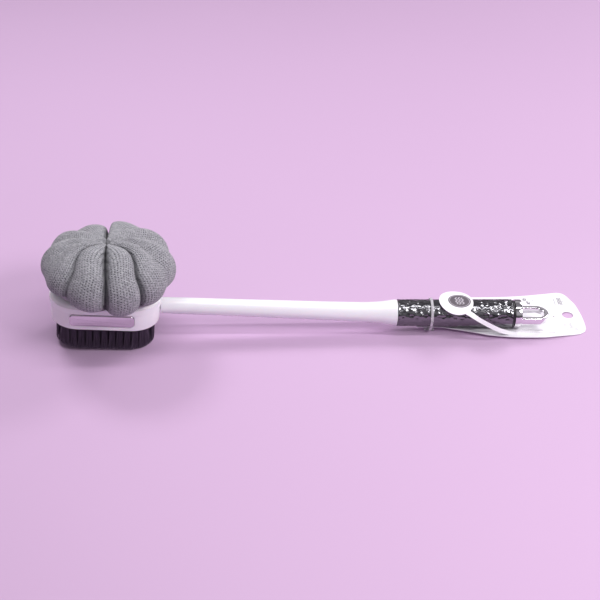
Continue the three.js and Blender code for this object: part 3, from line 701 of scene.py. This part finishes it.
def mesh_knit():
    material, node, maths, blend_colours, set_surface = shader("grey_mesh_knit")
    place = node("ShaderNodeTexCoord").outputs["Object"]
    stitch = node("ShaderNodeUVMap", uv_map="stitches").outputs["UV"]
    wander = node("ShaderNodeTexNoise", {"Vector": place, "Scale": 170.0, "Detail": 2.0})
    centred = node("ShaderNodeVectorMath", {0: wander.outputs["Color"], 1: (0.5, 0.5, 0.5)},
                   operation="SUBTRACT")
    small = node("ShaderNodeVectorMath", {0: centred.outputs["Vector"], "Scale": 0.8},
                 operation="SCALE")
    moved = node("ShaderNodeVectorMath", {0: stitch, 1: small.outputs["Vector"]}, operation="ADD")
    across = node("ShaderNodeSeparateXYZ", {"Vector": moved.outputs["Vector"]})
    turn = 2 * math.pi
    stagger = maths("MULTIPLY_ADD", across.outputs["X"], 0.5, across.outputs["Y"])
    wale = maths("COSINE", maths("MULTIPLY", across.outputs["X"], turn))
    course = maths("COSINE", maths("MULTIPLY", stagger, turn))
    holes = maths("MULTIPLY", maths("MULTIPLY_ADD", wale, 0.5, 0.5),
                   maths("MULTIPLY_ADD", course, 0.5, 0.5))
    patchy = node("ShaderNodeTexNoise", {"Vector": place, "Scale": 75.0, "Detail": 3.0})
    openness = node("ShaderNodeMapRange", {"Value": patchy.outputs["Fac"], "From Min": 0.36,
                                           "From Max": 0.6, "To Min": 0.35, "To Max": 1.0})
    pit = node("ShaderNodeMapRange", {"Value": holes, "From Min": 0.4, "From Max": 0.8},
               interpolation_type="SMOOTHSTEP").outputs["Result"]
    pit = maths("MULTIPLY", pit, openness.outputs["Result"])
    fibre = node("ShaderNodeTexNoise", {"Vector": place, "Scale": 2600.0, "Detail": 2.0})
    drift = node("ShaderNodeTexNoise", {"Vector": place, "Scale": 32.0, "Detail": 2.0})
    mottle = node("ShaderNodeTexNoise", {"Vector": place, "Scale": 620.0, "Detail": 3.0,
                                         "Roughness": 0.7})
    strands = node("ShaderNodeMapRange", {"Value": mottle.outputs["Fac"], "From Min": 0.38,
                                          "From Max": 0.62}).outputs["Result"]
    strands = maths("MULTIPLY_ADD", strands, 0.7, maths("MULTIPLY", fibre.outputs["Fac"], 0.3))
    yarn = blend_colours(strands, (0.155, 0.155, 0.172, 1), (0.46, 0.46, 0.485, 1))
    yarn = blend_colours(maths("MULTIPLY", drift.outputs["Fac"], 0.45), yarn, (0.27, 0.255, 0.29, 1))
    # Painted shade: the yarn is darkened nearly to black along the hard creases, where shade falls.
    crease_shade = node("ShaderNodeAttribute", attribute_name="crease_shade").outputs["Fac"]
    yarn = blend_colours(maths("MULTIPLY", crease_shade, 0.85), yarn, (0.03, 0.03, 0.038, 1))
    height = maths("MULTIPLY_ADD", pit, -1.0, maths("MULTIPLY", fibre.outputs["Fac"], 0.35))
    relief = node("ShaderNodeBump", {"Height": height, "Strength": 0.9, "Distance": 0.0005})
    # Painted shade: the stitch holes are painted nearly black, as the shaded inside of the bag.
    set_surface(base_color=blend_colours(pit, yarn, (0.035, 0.035, 0.045, 1)), roughness=0.95,
                specular_ior_level=0.15, sheen_weight=0.2, sheen_roughness=0.5,
                normal=relief.outputs["Normal"])
    return material


def sharpen_creases(bag):
    """Marks the sewn creases so that smoothing keeps them tight."""
    marks = bag.data.attributes.new("crease_edge", "FLOAT", "EDGE")
    points = [v.co for v in bag.data.vertices]
    for edge in bag.data.edges:
        ends = [points[i] for i in edge.vertices]
        on_seam = all(nearest_crease(end)[1] < 0.02 and end.xy.length > 2 * MM for end in ends)
        softness = nearest_crease(ends[0])[0][2]
        if on_seam and min(end.z for end in ends) > (puff_low.z + 3) * MM:
            marks.data[edge.index].value = 0.85 * (1 - softness)


def knit_relief(bag):
    """Presses the stitch holes a little way into the surface."""
    mesh = bag.data
    uv = mesh.uv_layers["stitches"].uv
    depth = {}
    for loop in mesh.loops:
        across, up = uv[loop.index].vector
        hole = (0.5 + 0.5 * math.cos(2 * math.pi * across)) * (
            0.5 + 0.5 * math.cos(2 * math.pi * (up + 0.5 * across)))
        depth[loop.vertex_index] = smooth_step(hole, 0.3, 0.9)
    normals = [n.vector.copy() for n in mesh.vertex_normals]
    for vert in mesh.vertices:
        vert.co -= normals[vert.index] * depth[vert.index] * PIT_DEPTH * MM


bag_mesh = plain_bag()
lobed = [gathered(vert.co, vert.normal) for vert in bag_mesh.verts]
for vert, co in zip(bag_mesh.verts, lobed):
    vert.co = co
puff = finished_piece("puff_bag", bag_mesh, mesh_knit(), "puff", ["puff_cover"], crease=180)
stuffed(puff)
sharpen_creases(puff)
rounding = puff.modifiers.new("rounding", "SUBSURF")
rounding.levels = rounding.render_levels = 2
full = bpy.data.meshes.new_from_object(puff.evaluated_get(bpy.context.evaluated_depsgraph_get()))
puff.modifiers.clear()
puff.data = full
knit_relief(puff)

# ---------------------------------------------------------------------------------------------
# Puff core, base and tie: open-cell foam inside the bag, the white disc whose plug presses into the
# head's socket, and the cord that pulls the middle down. They show only where the puff is lifted.
def open_foam():
    material, node, maths, blend_colours, set_surface = shader("open_cell_foam")
    place = node("ShaderNodeTexCoord").outputs["Object"]
    cells = node("ShaderNodeTexVoronoi", {"Vector": place, "Scale": 900.0})
    relief = node("ShaderNodeBump", {"Height": cells.outputs["Distance"], "Strength": 0.8,
                                     "Distance": 0.0005})
    tint = blend_colours(cells.outputs["Distance"], (0.45, 0.43, 0.38, 1), (0.72, 0.70, 0.65, 1))
    set_surface(base_color=tint, roughness=0.95, normal=relief.outputs["Normal"])
    return material


def braided_cord():
    material, node, maths, blend_colours, set_surface = shader("braided_cord")
    place = node("ShaderNodeTexCoord").outputs["Object"]
    braid = node("ShaderNodeTexWave", {"Vector": place, "Scale": 260.0, "Distortion": 3.0},
                 bands_direction="DIAGONAL")
    relief = node("ShaderNodeBump", {"Height": braid.outputs["Fac"], "Strength": 0.7,
                                     "Distance": 0.0003})
    tint = blend_colours(braid.outputs["Fac"], (0.5, 0.5, 0.52, 1), (0.68, 0.68, 0.7, 1))
    set_surface(base_color=tint, roughness=0.8, normal=relief.outputs["Normal"])
    return material


foam = plain_bag()
inner = [gathered(vert.co, vert.normal) - vert.normal * 2.4 for vert in foam.verts]
for vert, co in zip(foam.verts, inner):
    vert.co = co
    vert.co.z = max(co.z, puff_low.z + MOUTH[1] + 0.4)
finished_piece("puff_foam", foam, open_foam(), "puff", ["puff_core"])
give_finish(braided_cord(), "puff_tie")
give_finish(white_plastic("base_white_plastic", (0.84, 0.83, 0.86, 1), 0.24), "puff_base")

# ---------------------------------------------------------------------------------------------
# Handle: a hollow white tube, blown in one piece. Its spigot is screwed into the head, the slim stem
# thickens and bows up a little, and a flare meets the grip.
SPIGOT_START = 20.0
SHOULDER_X = 42.6
TUBE_END = 229.2
SPIGOT_RADIUS, BORE, SOCKET = 3.6, 2.2, 5.5
STEM = [(66, 6.6), (106, 6.8), (137, 7.1), (169, 7.4), (201, 7.85), (209, 8.2), (216, 8.75),
        (220, 9.3), (224, 9.95), (227, 10.3), (228.8, 10.47)]
BOW_START, BOW_RADIUS = 185.0, 1400.0


def through(points, steps=5):
    """A smooth run of points through a few given ones."""
    padded = [points[0]] + list(points) + [points[-1]]
    run = []
    for a, b, c, d in zip(padded, padded[1:], padded[2:], padded[3:]):
        a, b, c, d = (Vector(p) for p in (a, b, c, d))
        for i in range(steps):
            t = i / steps
            run.append(0.5 * (2 * b + (c - a) * t + (2 * a - 5 * b + 4 * c - d) * t ** 2
                              + (3 * b - a - 3 * c + d) * t ** 3))
    return run + [Vector(points[-1])]


def turned(outline, steps=72):
    """Spins a closed outline of (x, radius) points, in millimetres, about the X axis."""
    bm = bmesh.new()
    corners = [bm.verts.new((x, 0, radius)) for x, radius in outline]
    for first, second in zip(corners, corners[1:] + corners[:1]):
        bm.edges.new((first, second))
    bmesh.ops.spin(bm, geom=bm.verts[:] + bm.edges[:], axis=(1, 0, 0), angle=2 * math.pi,
                   steps=steps, use_merge=True)
    bmesh.ops.remove_doubles(bm, verts=bm.verts, dist=1e-4)
    bmesh.ops.recalc_face_normals(bm, faces=bm.faces)
    return bm


def bow_slope(x):
    return max(x - BOW_START, 0) / BOW_RADIUS


stem = [tuple(p) for p in through([(SHOULDER_X + 0.55, 6.45)] + STEM)]
handle = turned([
    (SPIGOT_START, BORE), (SPIGOT_START, SPIGOT_RADIUS - 0.3), (SPIGOT_START + 0.3, SPIGOT_RADIUS),
    (SHOULDER_X, SPIGOT_RADIUS), (SHOULDER_X, 5.9), (SHOULDER_X + 0.16, 6.29), *stem,
    (TUBE_END - 0.1, 10.42), (TUBE_END, 10.2), (TUBE_END, SOCKET), (TUBE_END - 25, SOCKET),
    (TUBE_END - 25, BORE), (BOW_START, BORE), (SHOULDER_X, BORE),
])
for vert in handle.verts:
    x, _, z = vert.co
    vert.co.x = x - z * bow_slope(x)
    vert.co.z = NECK_Z + z + bow_slope(x) ** 2 * BOW_RADIUS / 2
handle_white = white_plastic("handle_white_plastic", (0.88, 0.875, 0.90, 1), 0.19)
finished_piece("handle_stem", handle, handle_white, "brush", ["handle_tube"])

# ---------------------------------------------------------------------------------------------
# Grip: a sleeve of hammered, dark-plated metal over a plastic core. Each hammer mark is a shallow
# bowl, and neighbouring bowls meet in bright ridges.
end_turn = next(joint for joint in frame["joints"] if joint["name"] == "end_cap_turn")
grip_line = Vector(end_turn["axis"]).normalized()
GRIP_X = 231.0
grip_start = Vector(end_turn["pos_m"])
grip_start -= grip_line * (grip_start.x - GRIP_X * MM) / grip_line.x
grip_place = Matrix.Translation(grip_start) @ Matrix.Rotation(
    -math.asin(grip_line.z), 4, "Y")
GRIP_BEFORE, GRIP_LENGTH = 1.5, 90.3
GRIP_RADII = (10.6, 11.45)
GRIP_BORE = 9.2
MARK_SIZE, MARK_DEPTH = 2.9, 0.36
AROUND, ALONG = 210, 290


def hammer_mark(place):
    """Depth of the hammered surface at a point: nought on a ridge, deepest amid a mark."""
    spread = Vector((place.x * 0.72, place.y, place.z)) / MARK_SIZE
    distances, _ = noise.voronoi(spread)
    bowl = min(1.0, (distances[0] / 0.62) ** 2)
    dent = MARK_DEPTH * (1 - bowl)
    return dent + 0.05 * noise.noise(place * 0.9)


def hammered_metal():
    material, node, maths, blend_colours, set_surface = shader("hammered_dark_plate")
    place = node("ShaderNodeTexCoord").outputs["Object"]
    stain = node("ShaderNodeTexNoise", {"Vector": place, "Scale": 140.0, "Detail": 4.0})
    fine = node("ShaderNodeTexNoise", {"Vector": place, "Scale": 900.0, "Detail": 3.0})
    tint = blend_colours(stain.outputs["Fac"], (0.13, 0.13, 0.14, 1), (0.24, 0.235, 0.25, 1))
    rough = node("ShaderNodeMapRange", {"Value": stain.outputs["Fac"], "To Min": 0.12,
                                        "To Max": 0.22})
    relief = node("ShaderNodeBump", {"Height": fine.outputs["Fac"], "Strength": 0.15,
                                     "Distance": 0.0001})
    set_surface(base_color=tint, metallic=1.0, roughness=rough.outputs["Result"],
                normal=relief.outputs["Normal"])
    return material


sleeve = turned(
    [(-GRIP_BEFORE, GRIP_BORE), (-GRIP_BEFORE, GRIP_RADII[0] - 0.15)]
    + [(0.15 - GRIP_BEFORE + (GRIP_LENGTH + GRIP_BEFORE - 0.3) * i / ALONG,
        GRIP_RADII[0] + (GRIP_RADII[1] - GRIP_RADII[0]) * i / ALONG) for i in range(ALONG + 1)]
    + [(GRIP_LENGTH, GRIP_RADII[1] - 0.15), (GRIP_LENGTH, GRIP_BORE)], steps=AROUND)
for vert in sleeve.verts:
    if vert.co.yz.length > GRIP_BORE + 0.5:
        out = Vector((0, vert.co.y, vert.co.z)).normalized()
        vert.co -= out * hammer_mark(vert.co)
finished_piece("hammered_grip", sleeve, hammered_metal(), "brush",
               ["grip_sleeve"], place=grip_place, crease=60)
give_finish(white_plastic("core_white_plastic", (0.8, 0.79, 0.82, 1), 0.3), "grip_core")

# ---------------------------------------------------------------------------------------------
# Seal ring: a soft black rubber ring, moulded in one piece and stretched over the cap's stem. It fills
# the groove between the grip and the end cap, and turns with the cap.
SEAL = (90.6, 92.0, 10.7, 6.5)

rubber = dark_moulding("black_seal_rubber", (0.014, 0.012, 0.016, 1), 0.42)
first, last, outer, inner = SEAL
seal = turned([(first, inner), (first, outer - 0.4), (first + 0.15, outer - 0.12),
               (first + 0.5, outer), (last - 0.5, outer), (last - 0.15, outer - 0.12),
               (last, outer - 0.4), (last, inner)])
finished_piece("seal_ring_rubber", seal, rubber, "end", ["seal_ring"], place=grip_place)

# ---------------------------------------------------------------------------------------------
# End cap: a turned and plated cap whose stem turns in the grip's core. Two pockets in its face take
# the arms of the hanging loop.
CAP_START, CAP_END, CAP_RADIUS = 92.3, 97.8, 11.35
STEM_START, STEM_RADIUS = 77.0, 6.2
LOOP_HALF, LOOP_BAND, LOOP_HEIGHT, LOOP_DROP = 9.7, 3.4, 5.6, 1.5
LOOP_ROOT, LOOP_BEND = 95.4, 111.0
POCKET_PLAY = 0.25
# Turns a shape's width, height and depth to lie along Y, Z and X.
FACE_ALONG = Matrix(((0, 0, 1, 0), (1, 0, 0, 0), (0, 1, 0, 0), (0, 0, 0, 1)))

cap = turned([
    (STEM_START, 0), (STEM_START, STEM_RADIUS - 0.4), (STEM_START + 0.4, STEM_RADIUS),
    (CAP_START, STEM_RADIUS), (CAP_START, CAP_RADIUS - 0.5), (CAP_START + 0.15, CAP_RADIUS - 0.15),
    (CAP_START + 0.5, CAP_RADIUS), (CAP_END - 0.7, CAP_RADIUS), (CAP_END - 0.3, CAP_RADIUS - 0.12),
    (CAP_END - 0.08, CAP_RADIUS - 0.4), (CAP_END, CAP_RADIUS - 0.8), (CAP_END, 0),
], steps=96)
pockets = bmesh.new()
for side in (-1, 1):
    pocket = rounded_block(LOOP_BAND / 2 + POCKET_PLAY, LOOP_HEIGHT / 2 + POCKET_PLAY, 0.9, 0,
                           CAP_END + 1 - LOOP_ROOT, steps=4)
    bmesh.ops.transform(pocket, verts=pocket.verts, matrix=Matrix.Translation(
        (LOOP_ROOT - POCKET_PLAY, side * (LOOP_HALF - LOOP_BAND / 2), -LOOP_DROP)) @ FACE_ALONG)
    join_into(pockets, pocket)
cap_plate = plated("cap_mirror_plate", (0.78, 0.76, 0.79, 1), 0.03)
finished_piece("end_cap_turning", carved(cap, pockets), cap_plate, "end",
               ["end_cap"], place=grip_place)

# ---------------------------------------------------------------------------------------------
# Hanging loop: a flat band bent to a U, plated, and pushed into the cap's pockets. It hangs the brush
# on a hook.
section = bmesh.new()
bmesh.ops.create_grid(section, x_segments=1, y_segments=1, size=0.5)
bmesh.ops.scale(section, vec=(LOOP_BAND, LOOP_HEIGHT, 1), verts=section.verts)
bmesh.ops.bevel(section, geom=section.verts[:], offset=0.75, segments=4, profile=0.5,
                affect="VERTICES", material=-1)
bmesh.ops.transform(section, verts=section.verts, matrix=Matrix.Translation(
    (LOOP_ROOT, -(LOOP_HALF - LOOP_BAND / 2), -LOOP_DROP)) @ FACE_ALONG)


def stretch_end(bm, faces, move):
    """Extrudes the open end of a bar along a straight line and gives back its new end faces."""
    grown = bmesh.ops.extrude_face_region(bm, geom=faces)["geom"]
    ends = [g for g in grown if isinstance(g, bmesh.types.BMFace)]
    bmesh.ops.translate(bm, vec=move, verts=list({v for f in ends for v in f.verts}))
    return ends


straight = LOOP_BEND - LOOP_ROOT
arm_end = stretch_end(section, section.faces[:], (straight, 0, 0))
bend_end = bmesh.ops.spin(section, geom=arm_end, cent=(LOOP_BEND, 0, -LOOP_DROP), axis=(0, 0, 1),
                          angle=math.pi, steps=28)["geom_last"]
bend_end = [g for g in bend_end if isinstance(g, bmesh.types.BMFace)]
stretch_end(section, bend_end, (-straight, 0, 0))
inner_faces = [f for f in section.faces if len(f.verts) > 4 and
               abs(f.calc_center_median().x - LOOP_ROOT) > 0.01]
bmesh.ops.delete(section, geom=inner_faces, context="FACES_ONLY")
bmesh.ops.recalc_face_normals(section, faces=section.faces)
loop_plate = plated("loop_mirror_plate", (0.84, 0.82, 0.85, 1), 0.04)
finished_piece("hanging_loop", section, loop_plate, "end", ["hang_loop"],
               place=grip_place)

# ---------------------------------------------------------------------------------------------
# Hang tag: a white card with a rounded far end and a peg hole. Its narrow tail is tied to the grip,
# and a strap cut from the same card climbs the near side of the grip to a round tab on top.
CARD_TOP, CARD_THICK = -11.95, 0.55
NEAR_EDGE = [(15.2, -3.0), (32.8, -3.2), (42.6, -5.1), (61.2, -10.2), (72, -13.6), (84.6, -15.5),
             (96.7, -16.4), (117, -15.9), (130, -13.7), (143, -11.3)]
END_EDGE = [(146.5, -10.3), (150.6, -7.2), (152.4, -3), (153, 4), (152.6, 16.2), (150.7, 30.3),
            (147.8, 38), (145.4, 43.5), (142.3, 46.9), (138, 47.9)]
FAR_EDGE = [(133.3, 46.9), (124.5, 45), (107, 42), (85.6, 39.9), (66.6, 39.4), (54, 38.4),
            (44, 33), (38.5, 22), (34.5, 11), (27, 6), (15.2, 5.0)]
PEG_HOLE = (141.4, 16, 4.65)
TAB_MIDDLE, TAB_HALF = (44.8, -1.4), (13.5, 16.5)
TAB_Z, TAB_CURL = 12.2, 0.006
STRAP_HALF, STRAP_THICK = 1.75, 0.45
STRAP_PATH = [(97.5, -11.2, -11.75), (91.2, -11.9, -11.4), (86.1, -12.8, -9.8), (79.6, -14.7, -6.2),
              (73.2, -16.1, -2.2), (66.8, -17.0, 2.0), (60.6, -17.0, 5.8), (54.7, -15.6, 9.3),
              (48.0, -12.2, 11.5)]
STRAP_FACING = [(0, 0, 1), (0, -0.3, 0.95), (0, -0.6, 0.8), (0, -0.8, 0.6), (0, -0.86, 0.5),
                (0, -0.86, 0.5), (0, -0.75, 0.66), (0, -0.45, 0.9), (0, -0.2, 1)]
DISC_MIDDLE, DISC_RADIUS, DISC_THICK = (47.5, -0.7), 9.0, 0.08
# Printing on the card, as plain grey bars: middle along, middle across, half sizes, and darkness.
PRINT_BARS = [(109.3, 36.6, 1.5, 2.2, 0.9), (111.7, 32.2, 1.5, 2.2, 0.9), (116.2, 35.6, 0.9, 1.6, 0.3),
              (120.8, 36.6, 1.9, 0.8, 0.28), (138.4, 35.6, 1.9, 5.0, 0.8), (134.0, 35.4, 0.5, 5.2, 0.65),
              (141.2, 34.6, 0.4, 3.0, 0.5), (108.5, -6.4, 12.5, 0.55, 0.36), (109, -9.4, 17, 0.6, 0.36),
              (136.6, 1.2, 1.4, 2.4, 0.45), (141.0, 0.6, 1.4, 3.6, 0.45), (144.4, -3.6, 1.6, 1.6, 0.45),
              (137.6, -4.4, 1.3, 1.3, 0.3), (129.2, 13.3, 0.8, 0.8, 0.85)]


def printed_card():
    material, node, maths, blend_colours, set_surface = shader("white_card_stock")
    flat = node("ShaderNodeUVMap", uv_map="sheet").outputs["UV"]
    place = node("ShaderNodeTexCoord").outputs["Object"]
    across = node("ShaderNodeSeparateXYZ", {"Vector": flat})
    ink = 0.0
    for middle_u, middle_v, half_u, half_v, dark in PRINT_BARS:
        in_u = maths("COMPARE", across.outputs["X"], middle_u, half_u)
        in_v = maths("COMPARE", across.outputs["Y"], middle_v, half_v)
        ink = maths("MAXIMUM", ink, maths("MULTIPLY", maths("MULTIPLY", in_u, in_v), dark))
    pulp = node("ShaderNodeTexNoise", {"Vector": place, "Scale": 700.0, "Detail": 4.0})
    broken = node("ShaderNodeTexNoise", {"Vector": place, "Scale": 1500.0, "Detail": 1.0})
    breaks = node("ShaderNodeMapRange", {"Value": broken.outputs["Fac"], "From Min": 0.42,
                                         "From Max": 0.5}).outputs["Result"]
    stock = blend_colours(pulp.outputs["Fac"], (0.80, 0.77, 0.83, 1), (0.90, 0.88, 0.92, 1))
    relief = node("ShaderNodeBump", {"Height": pulp.outputs["Fac"], "Strength": 0.15,
                                     "Distance": 0.00008})
    set_surface(base_color=blend_colours(maths("MULTIPLY", ink, breaks), stock,
                                         (0.09, 0.08, 0.10, 1)),
                roughness=0.42, coat_weight=0.25, coat_roughness=0.2,
                normal=relief.outputs["Normal"])
    return material


def sheet_of(bm, points, hole=None):
    """Fills a flat outline, with an optional round hole, in a bmesh."""
    outline = [bm.verts.new((u, v, 0)) for u, v in points]
    edges = [bm.edges.new(pair) for pair in zip(outline, outline[1:] + outline[:1])]
    if hole:
        ring = bmesh.ops.create_circle(bm, segments=40, radius=hole[2],
                                       matrix=Matrix.Translation((hole[0], hole[1], 0)))["verts"]
        edges += list({e for v in ring for e in v.link_edges})
    bmesh.ops.triangle_fill(bm, edges=edges, use_beauty=True, normal=(0, 0, 1))


def cut_across(bm, places, direction):
    """Cuts a flat sheet into strips at places along X or Y, so that it can be curled."""
    for place in places:
        bmesh.ops.bisect_plane(bm, geom=bm.verts[:] + bm.edges[:] + bm.faces[:],
                               plane_co=Vector(direction) * place, plane_no=direction)


def thickened(bm, thickness):
    """Gives an open sheet its outward side and then its thickness."""
    bmesh.ops.recalc_face_normals(bm, faces=bm.faces)
    bmesh.ops.solidify(bm, geom=bm.faces[:], thickness=thickness)


def lay_out(bm):
    """Keeps the flat layout of a sheet as a UV map in millimetres, before it is curled."""
    flat = bm.loops.layers.uv.new("sheet")
    for face in bm.faces:
        for loop in face.loops:
            loop[flat].uv = loop.vert.co.xy


card = bmesh.new()
runs = [[tuple(p) for p in through([(*point, 0) for point in edge], steps=4)]
        for edge in (NEAR_EDGE, END_EDGE, FAR_EDGE)]
sheet_of(card, [(u, v) for run in runs for u, v, _ in run], PEG_HOLE)
cut_across(card, [15 + step * 4.1 for step in range(1, 34)], (1, 0, 0))
lay_out(card)
for vert in card.verts:
    u, v, _ = vert.co
    lift = 0.5 * smooth_step(v, 20, 48) + 0.35 * math.sin(u / 31) * smooth_step(u, 60, 90)
    vert.co.z = CARD_TOP - 0.15 + lift * 0.6 - 0.5 * smooth_step(u, 120, 153)
thickened(card, CARD_THICK)

strap = bmesh.new()
path = through(STRAP_PATH, steps=6)
facings = [f.normalized() for f in through(STRAP_FACING, steps=6)]
previous = None
for index, (middle, face_way) in enumerate(zip(path, facings)):
    ahead = path[min(index + 1, len(path) - 1)] - path[max(index - 1, 0)]
    side = ahead.cross(face_way).normalized()
    width = STRAP_HALF * (1 + 0.5 * smooth_step(index, len(path) * 0.7, len(path)))
    pair = [strap.verts.new(middle + side * width * way) for way in (-1, 1)]
    edge = strap.edges.new(pair)
    if previous:
        bmesh.ops.bridge_loops(strap, edges=[previous, edge])
    previous = edge
lay_out(strap)
thickened(strap, STRAP_THICK)

tab = bmesh.new()
rim = [(TAB_MIDDLE[0] + TAB_HALF[0] * math.cos(math.radians(a)),
        TAB_MIDDLE[1] + TAB_HALF[1] * math.sin(math.radians(a))) for a in range(0, 360, 5)]
sheet_of(tab, rim)
cut_across(tab, [TAB_MIDDLE[1] + step * 2.5 for step in range(-6, 7)], (0, 1, 0))
lay_out(tab)
for vert in tab.verts:
    vert.co.z = TAB_Z - TAB_CURL * (vert.co.y - TAB_MIDDLE[1]) ** 2
thickened(tab, STRAP_THICK)
for part in (strap, tab):
    join_into(card, part)
finished_piece("blank_hang_tag", card, printed_card(), "tag", ["tag_card"],
               place=grip_place, crease=40)

# ---------------------------------------------------------------------------------------------
# Tag disc: a round label of thin dark film, stuck to the middle of the tab. It is printed with a
# plain ring and three ripples.
def disc_label():
    material, node, maths, blend_colours, set_surface = shader("dark_round_label")
    flat = node("ShaderNodeUVMap", uv_map="sheet").outputs["UV"]
    centred = node("ShaderNodeVectorMath", {0: flat, 1: (*DISC_MIDDLE, 0)}, operation="SUBTRACT")
    across = node("ShaderNodeSeparateXYZ", {"Vector": centred.outputs["Vector"]})
    radius = node("ShaderNodeVectorMath", {0: centred.outputs["Vector"]},
                  operation="LENGTH").outputs["Value"]
    ring = maths("COMPARE", radius, DISC_RADIUS - 1.1, 0.16)
    swing = maths("MULTIPLY", maths("SINE", maths("MULTIPLY", across.outputs["Y"], 1.5)), 0.7)
    ripples = 0.0
    for offset in (-2.4, 0.0, 2.4):
        line = maths("COMPARE", maths("SUBTRACT", across.outputs["X"], swing), offset, 0.4)
        ripples = maths("MAXIMUM", ripples, line)
    inner = maths("COMPARE", radius, 0.0, 5.2)
    light = maths("MAXIMUM", ring, maths("MULTIPLY", ripples, inner))
    place = node("ShaderNodeTexCoord").outputs["Object"]
    mottle = node("ShaderNodeTexNoise", {"Vector": place, "Scale": 600.0, "Detail": 3.0})
    dark = blend_colours(mottle.outputs["Fac"], (0.085, 0.07, 0.085, 1), (0.13, 0.11, 0.13, 1))
    set_surface(base_color=blend_colours(light, dark, (0.62, 0.58, 0.64, 1)), roughness=0.38)
    return material


disc = bmesh.new()
bmesh.ops.create_circle(disc, cap_ends=True, segments=64, radius=DISC_RADIUS,
                        matrix=Matrix.Translation((*DISC_MIDDLE, 0)))
cut_across(disc, [DISC_MIDDLE[1] + step * 1.4 for step in range(-6, 7)], (0, 1, 0))
lay_out(disc)
for vert in disc.verts:
    vert.co.z = TAB_Z + 0.1 - TAB_CURL * (vert.co.y - TAB_MIDDLE[1]) ** 2
thickened(disc, DISC_THICK)
finished_piece("tag_disc", disc, disc_label(), "tag", place=grip_place)

# ---------------------------------------------------------------------------------------------
# Tag tie and clip: a clear band drawn round the grip and the card's tail, and the small clear block
# under the card that it is fastened in.
def clear_band(name, tint):
    material, node, maths, blend_colours, set_surface = shader(name)
    place = node("ShaderNodeTexCoord").outputs["Object"]
    cloud = node("ShaderNodeTexNoise", {"Vector": place, "Scale": 260.0, "Detail": 2.0})
    rough = node("ShaderNodeMapRange", {"Value": cloud.outputs["Fac"], "To Min": 0.18,
                                        "To Max": 0.4})
    milky = tuple(c * 0.88 for c in tint[:3]) + (1,)
    set_surface(base_color=blend_colours(cloud.outputs["Fac"], tint, milky), ior=1.46,
                roughness=rough.outputs["Result"], transmission_weight=0.55)
    return material


BAND_X, BAND_WIDTH, BAND_THICK = 25.5, 2.0, 0.6
BAND_PATH = [(11.35, 90), (11.35, 60), (11.35, 30), (11.35, 0), (11.5, -25), (12.6, -48),
             (13.9, -66), (13.5, -78), (13.3, -90)]
half_loop = through([(0, r * math.cos(math.radians(a)), r * math.sin(math.radians(a)))
                     for r, a in BAND_PATH], steps=6)
loop_points = half_loop + [Vector((0, -p.y, p.z)) for p in reversed(half_loop[1:-1])]
band = bmesh.new()
ring = [band.verts.new((BAND_X - BAND_WIDTH / 2, p.y, p.z)) for p in loop_points]
edges = [band.edges.new(pair) for pair in zip(ring, ring[1:] + ring[:1])]
grown = bmesh.ops.extrude_edge_only(band, edges=edges)["geom"]
bmesh.ops.translate(band, vec=(BAND_WIDTH, 0, 0),
                    verts=[g for g in grown if isinstance(g, bmesh.types.BMVert)])
thickened(band, -BAND_THICK)
bmesh.ops.recalc_face_normals(band, faces=band.faces)
finished_piece("clear_tie_band", band, clear_band("clear_tie", (0.92, 0.90, 0.94, 1)), "tag",
               ["tag_tie"], place=grip_place)

CLIP_HALF, CLIP_CORNER, CLIP_HEIGHT = (4.15, 2.0), 0.7, 1.3
clip = rounded_block(*CLIP_HALF, CLIP_CORNER, 0, CLIP_HEIGHT, edge=0.3, steps=4)
bmesh.ops.translate(clip, vec=(BAND_X, -0.8, -15.35), verts=clip.verts)
finished_piece("clear_tie_clip", clip, clear_band("clear_clip", (0.88, 0.86, 0.9, 1)), "tag",
               ["tie_clip"], place=grip_place)
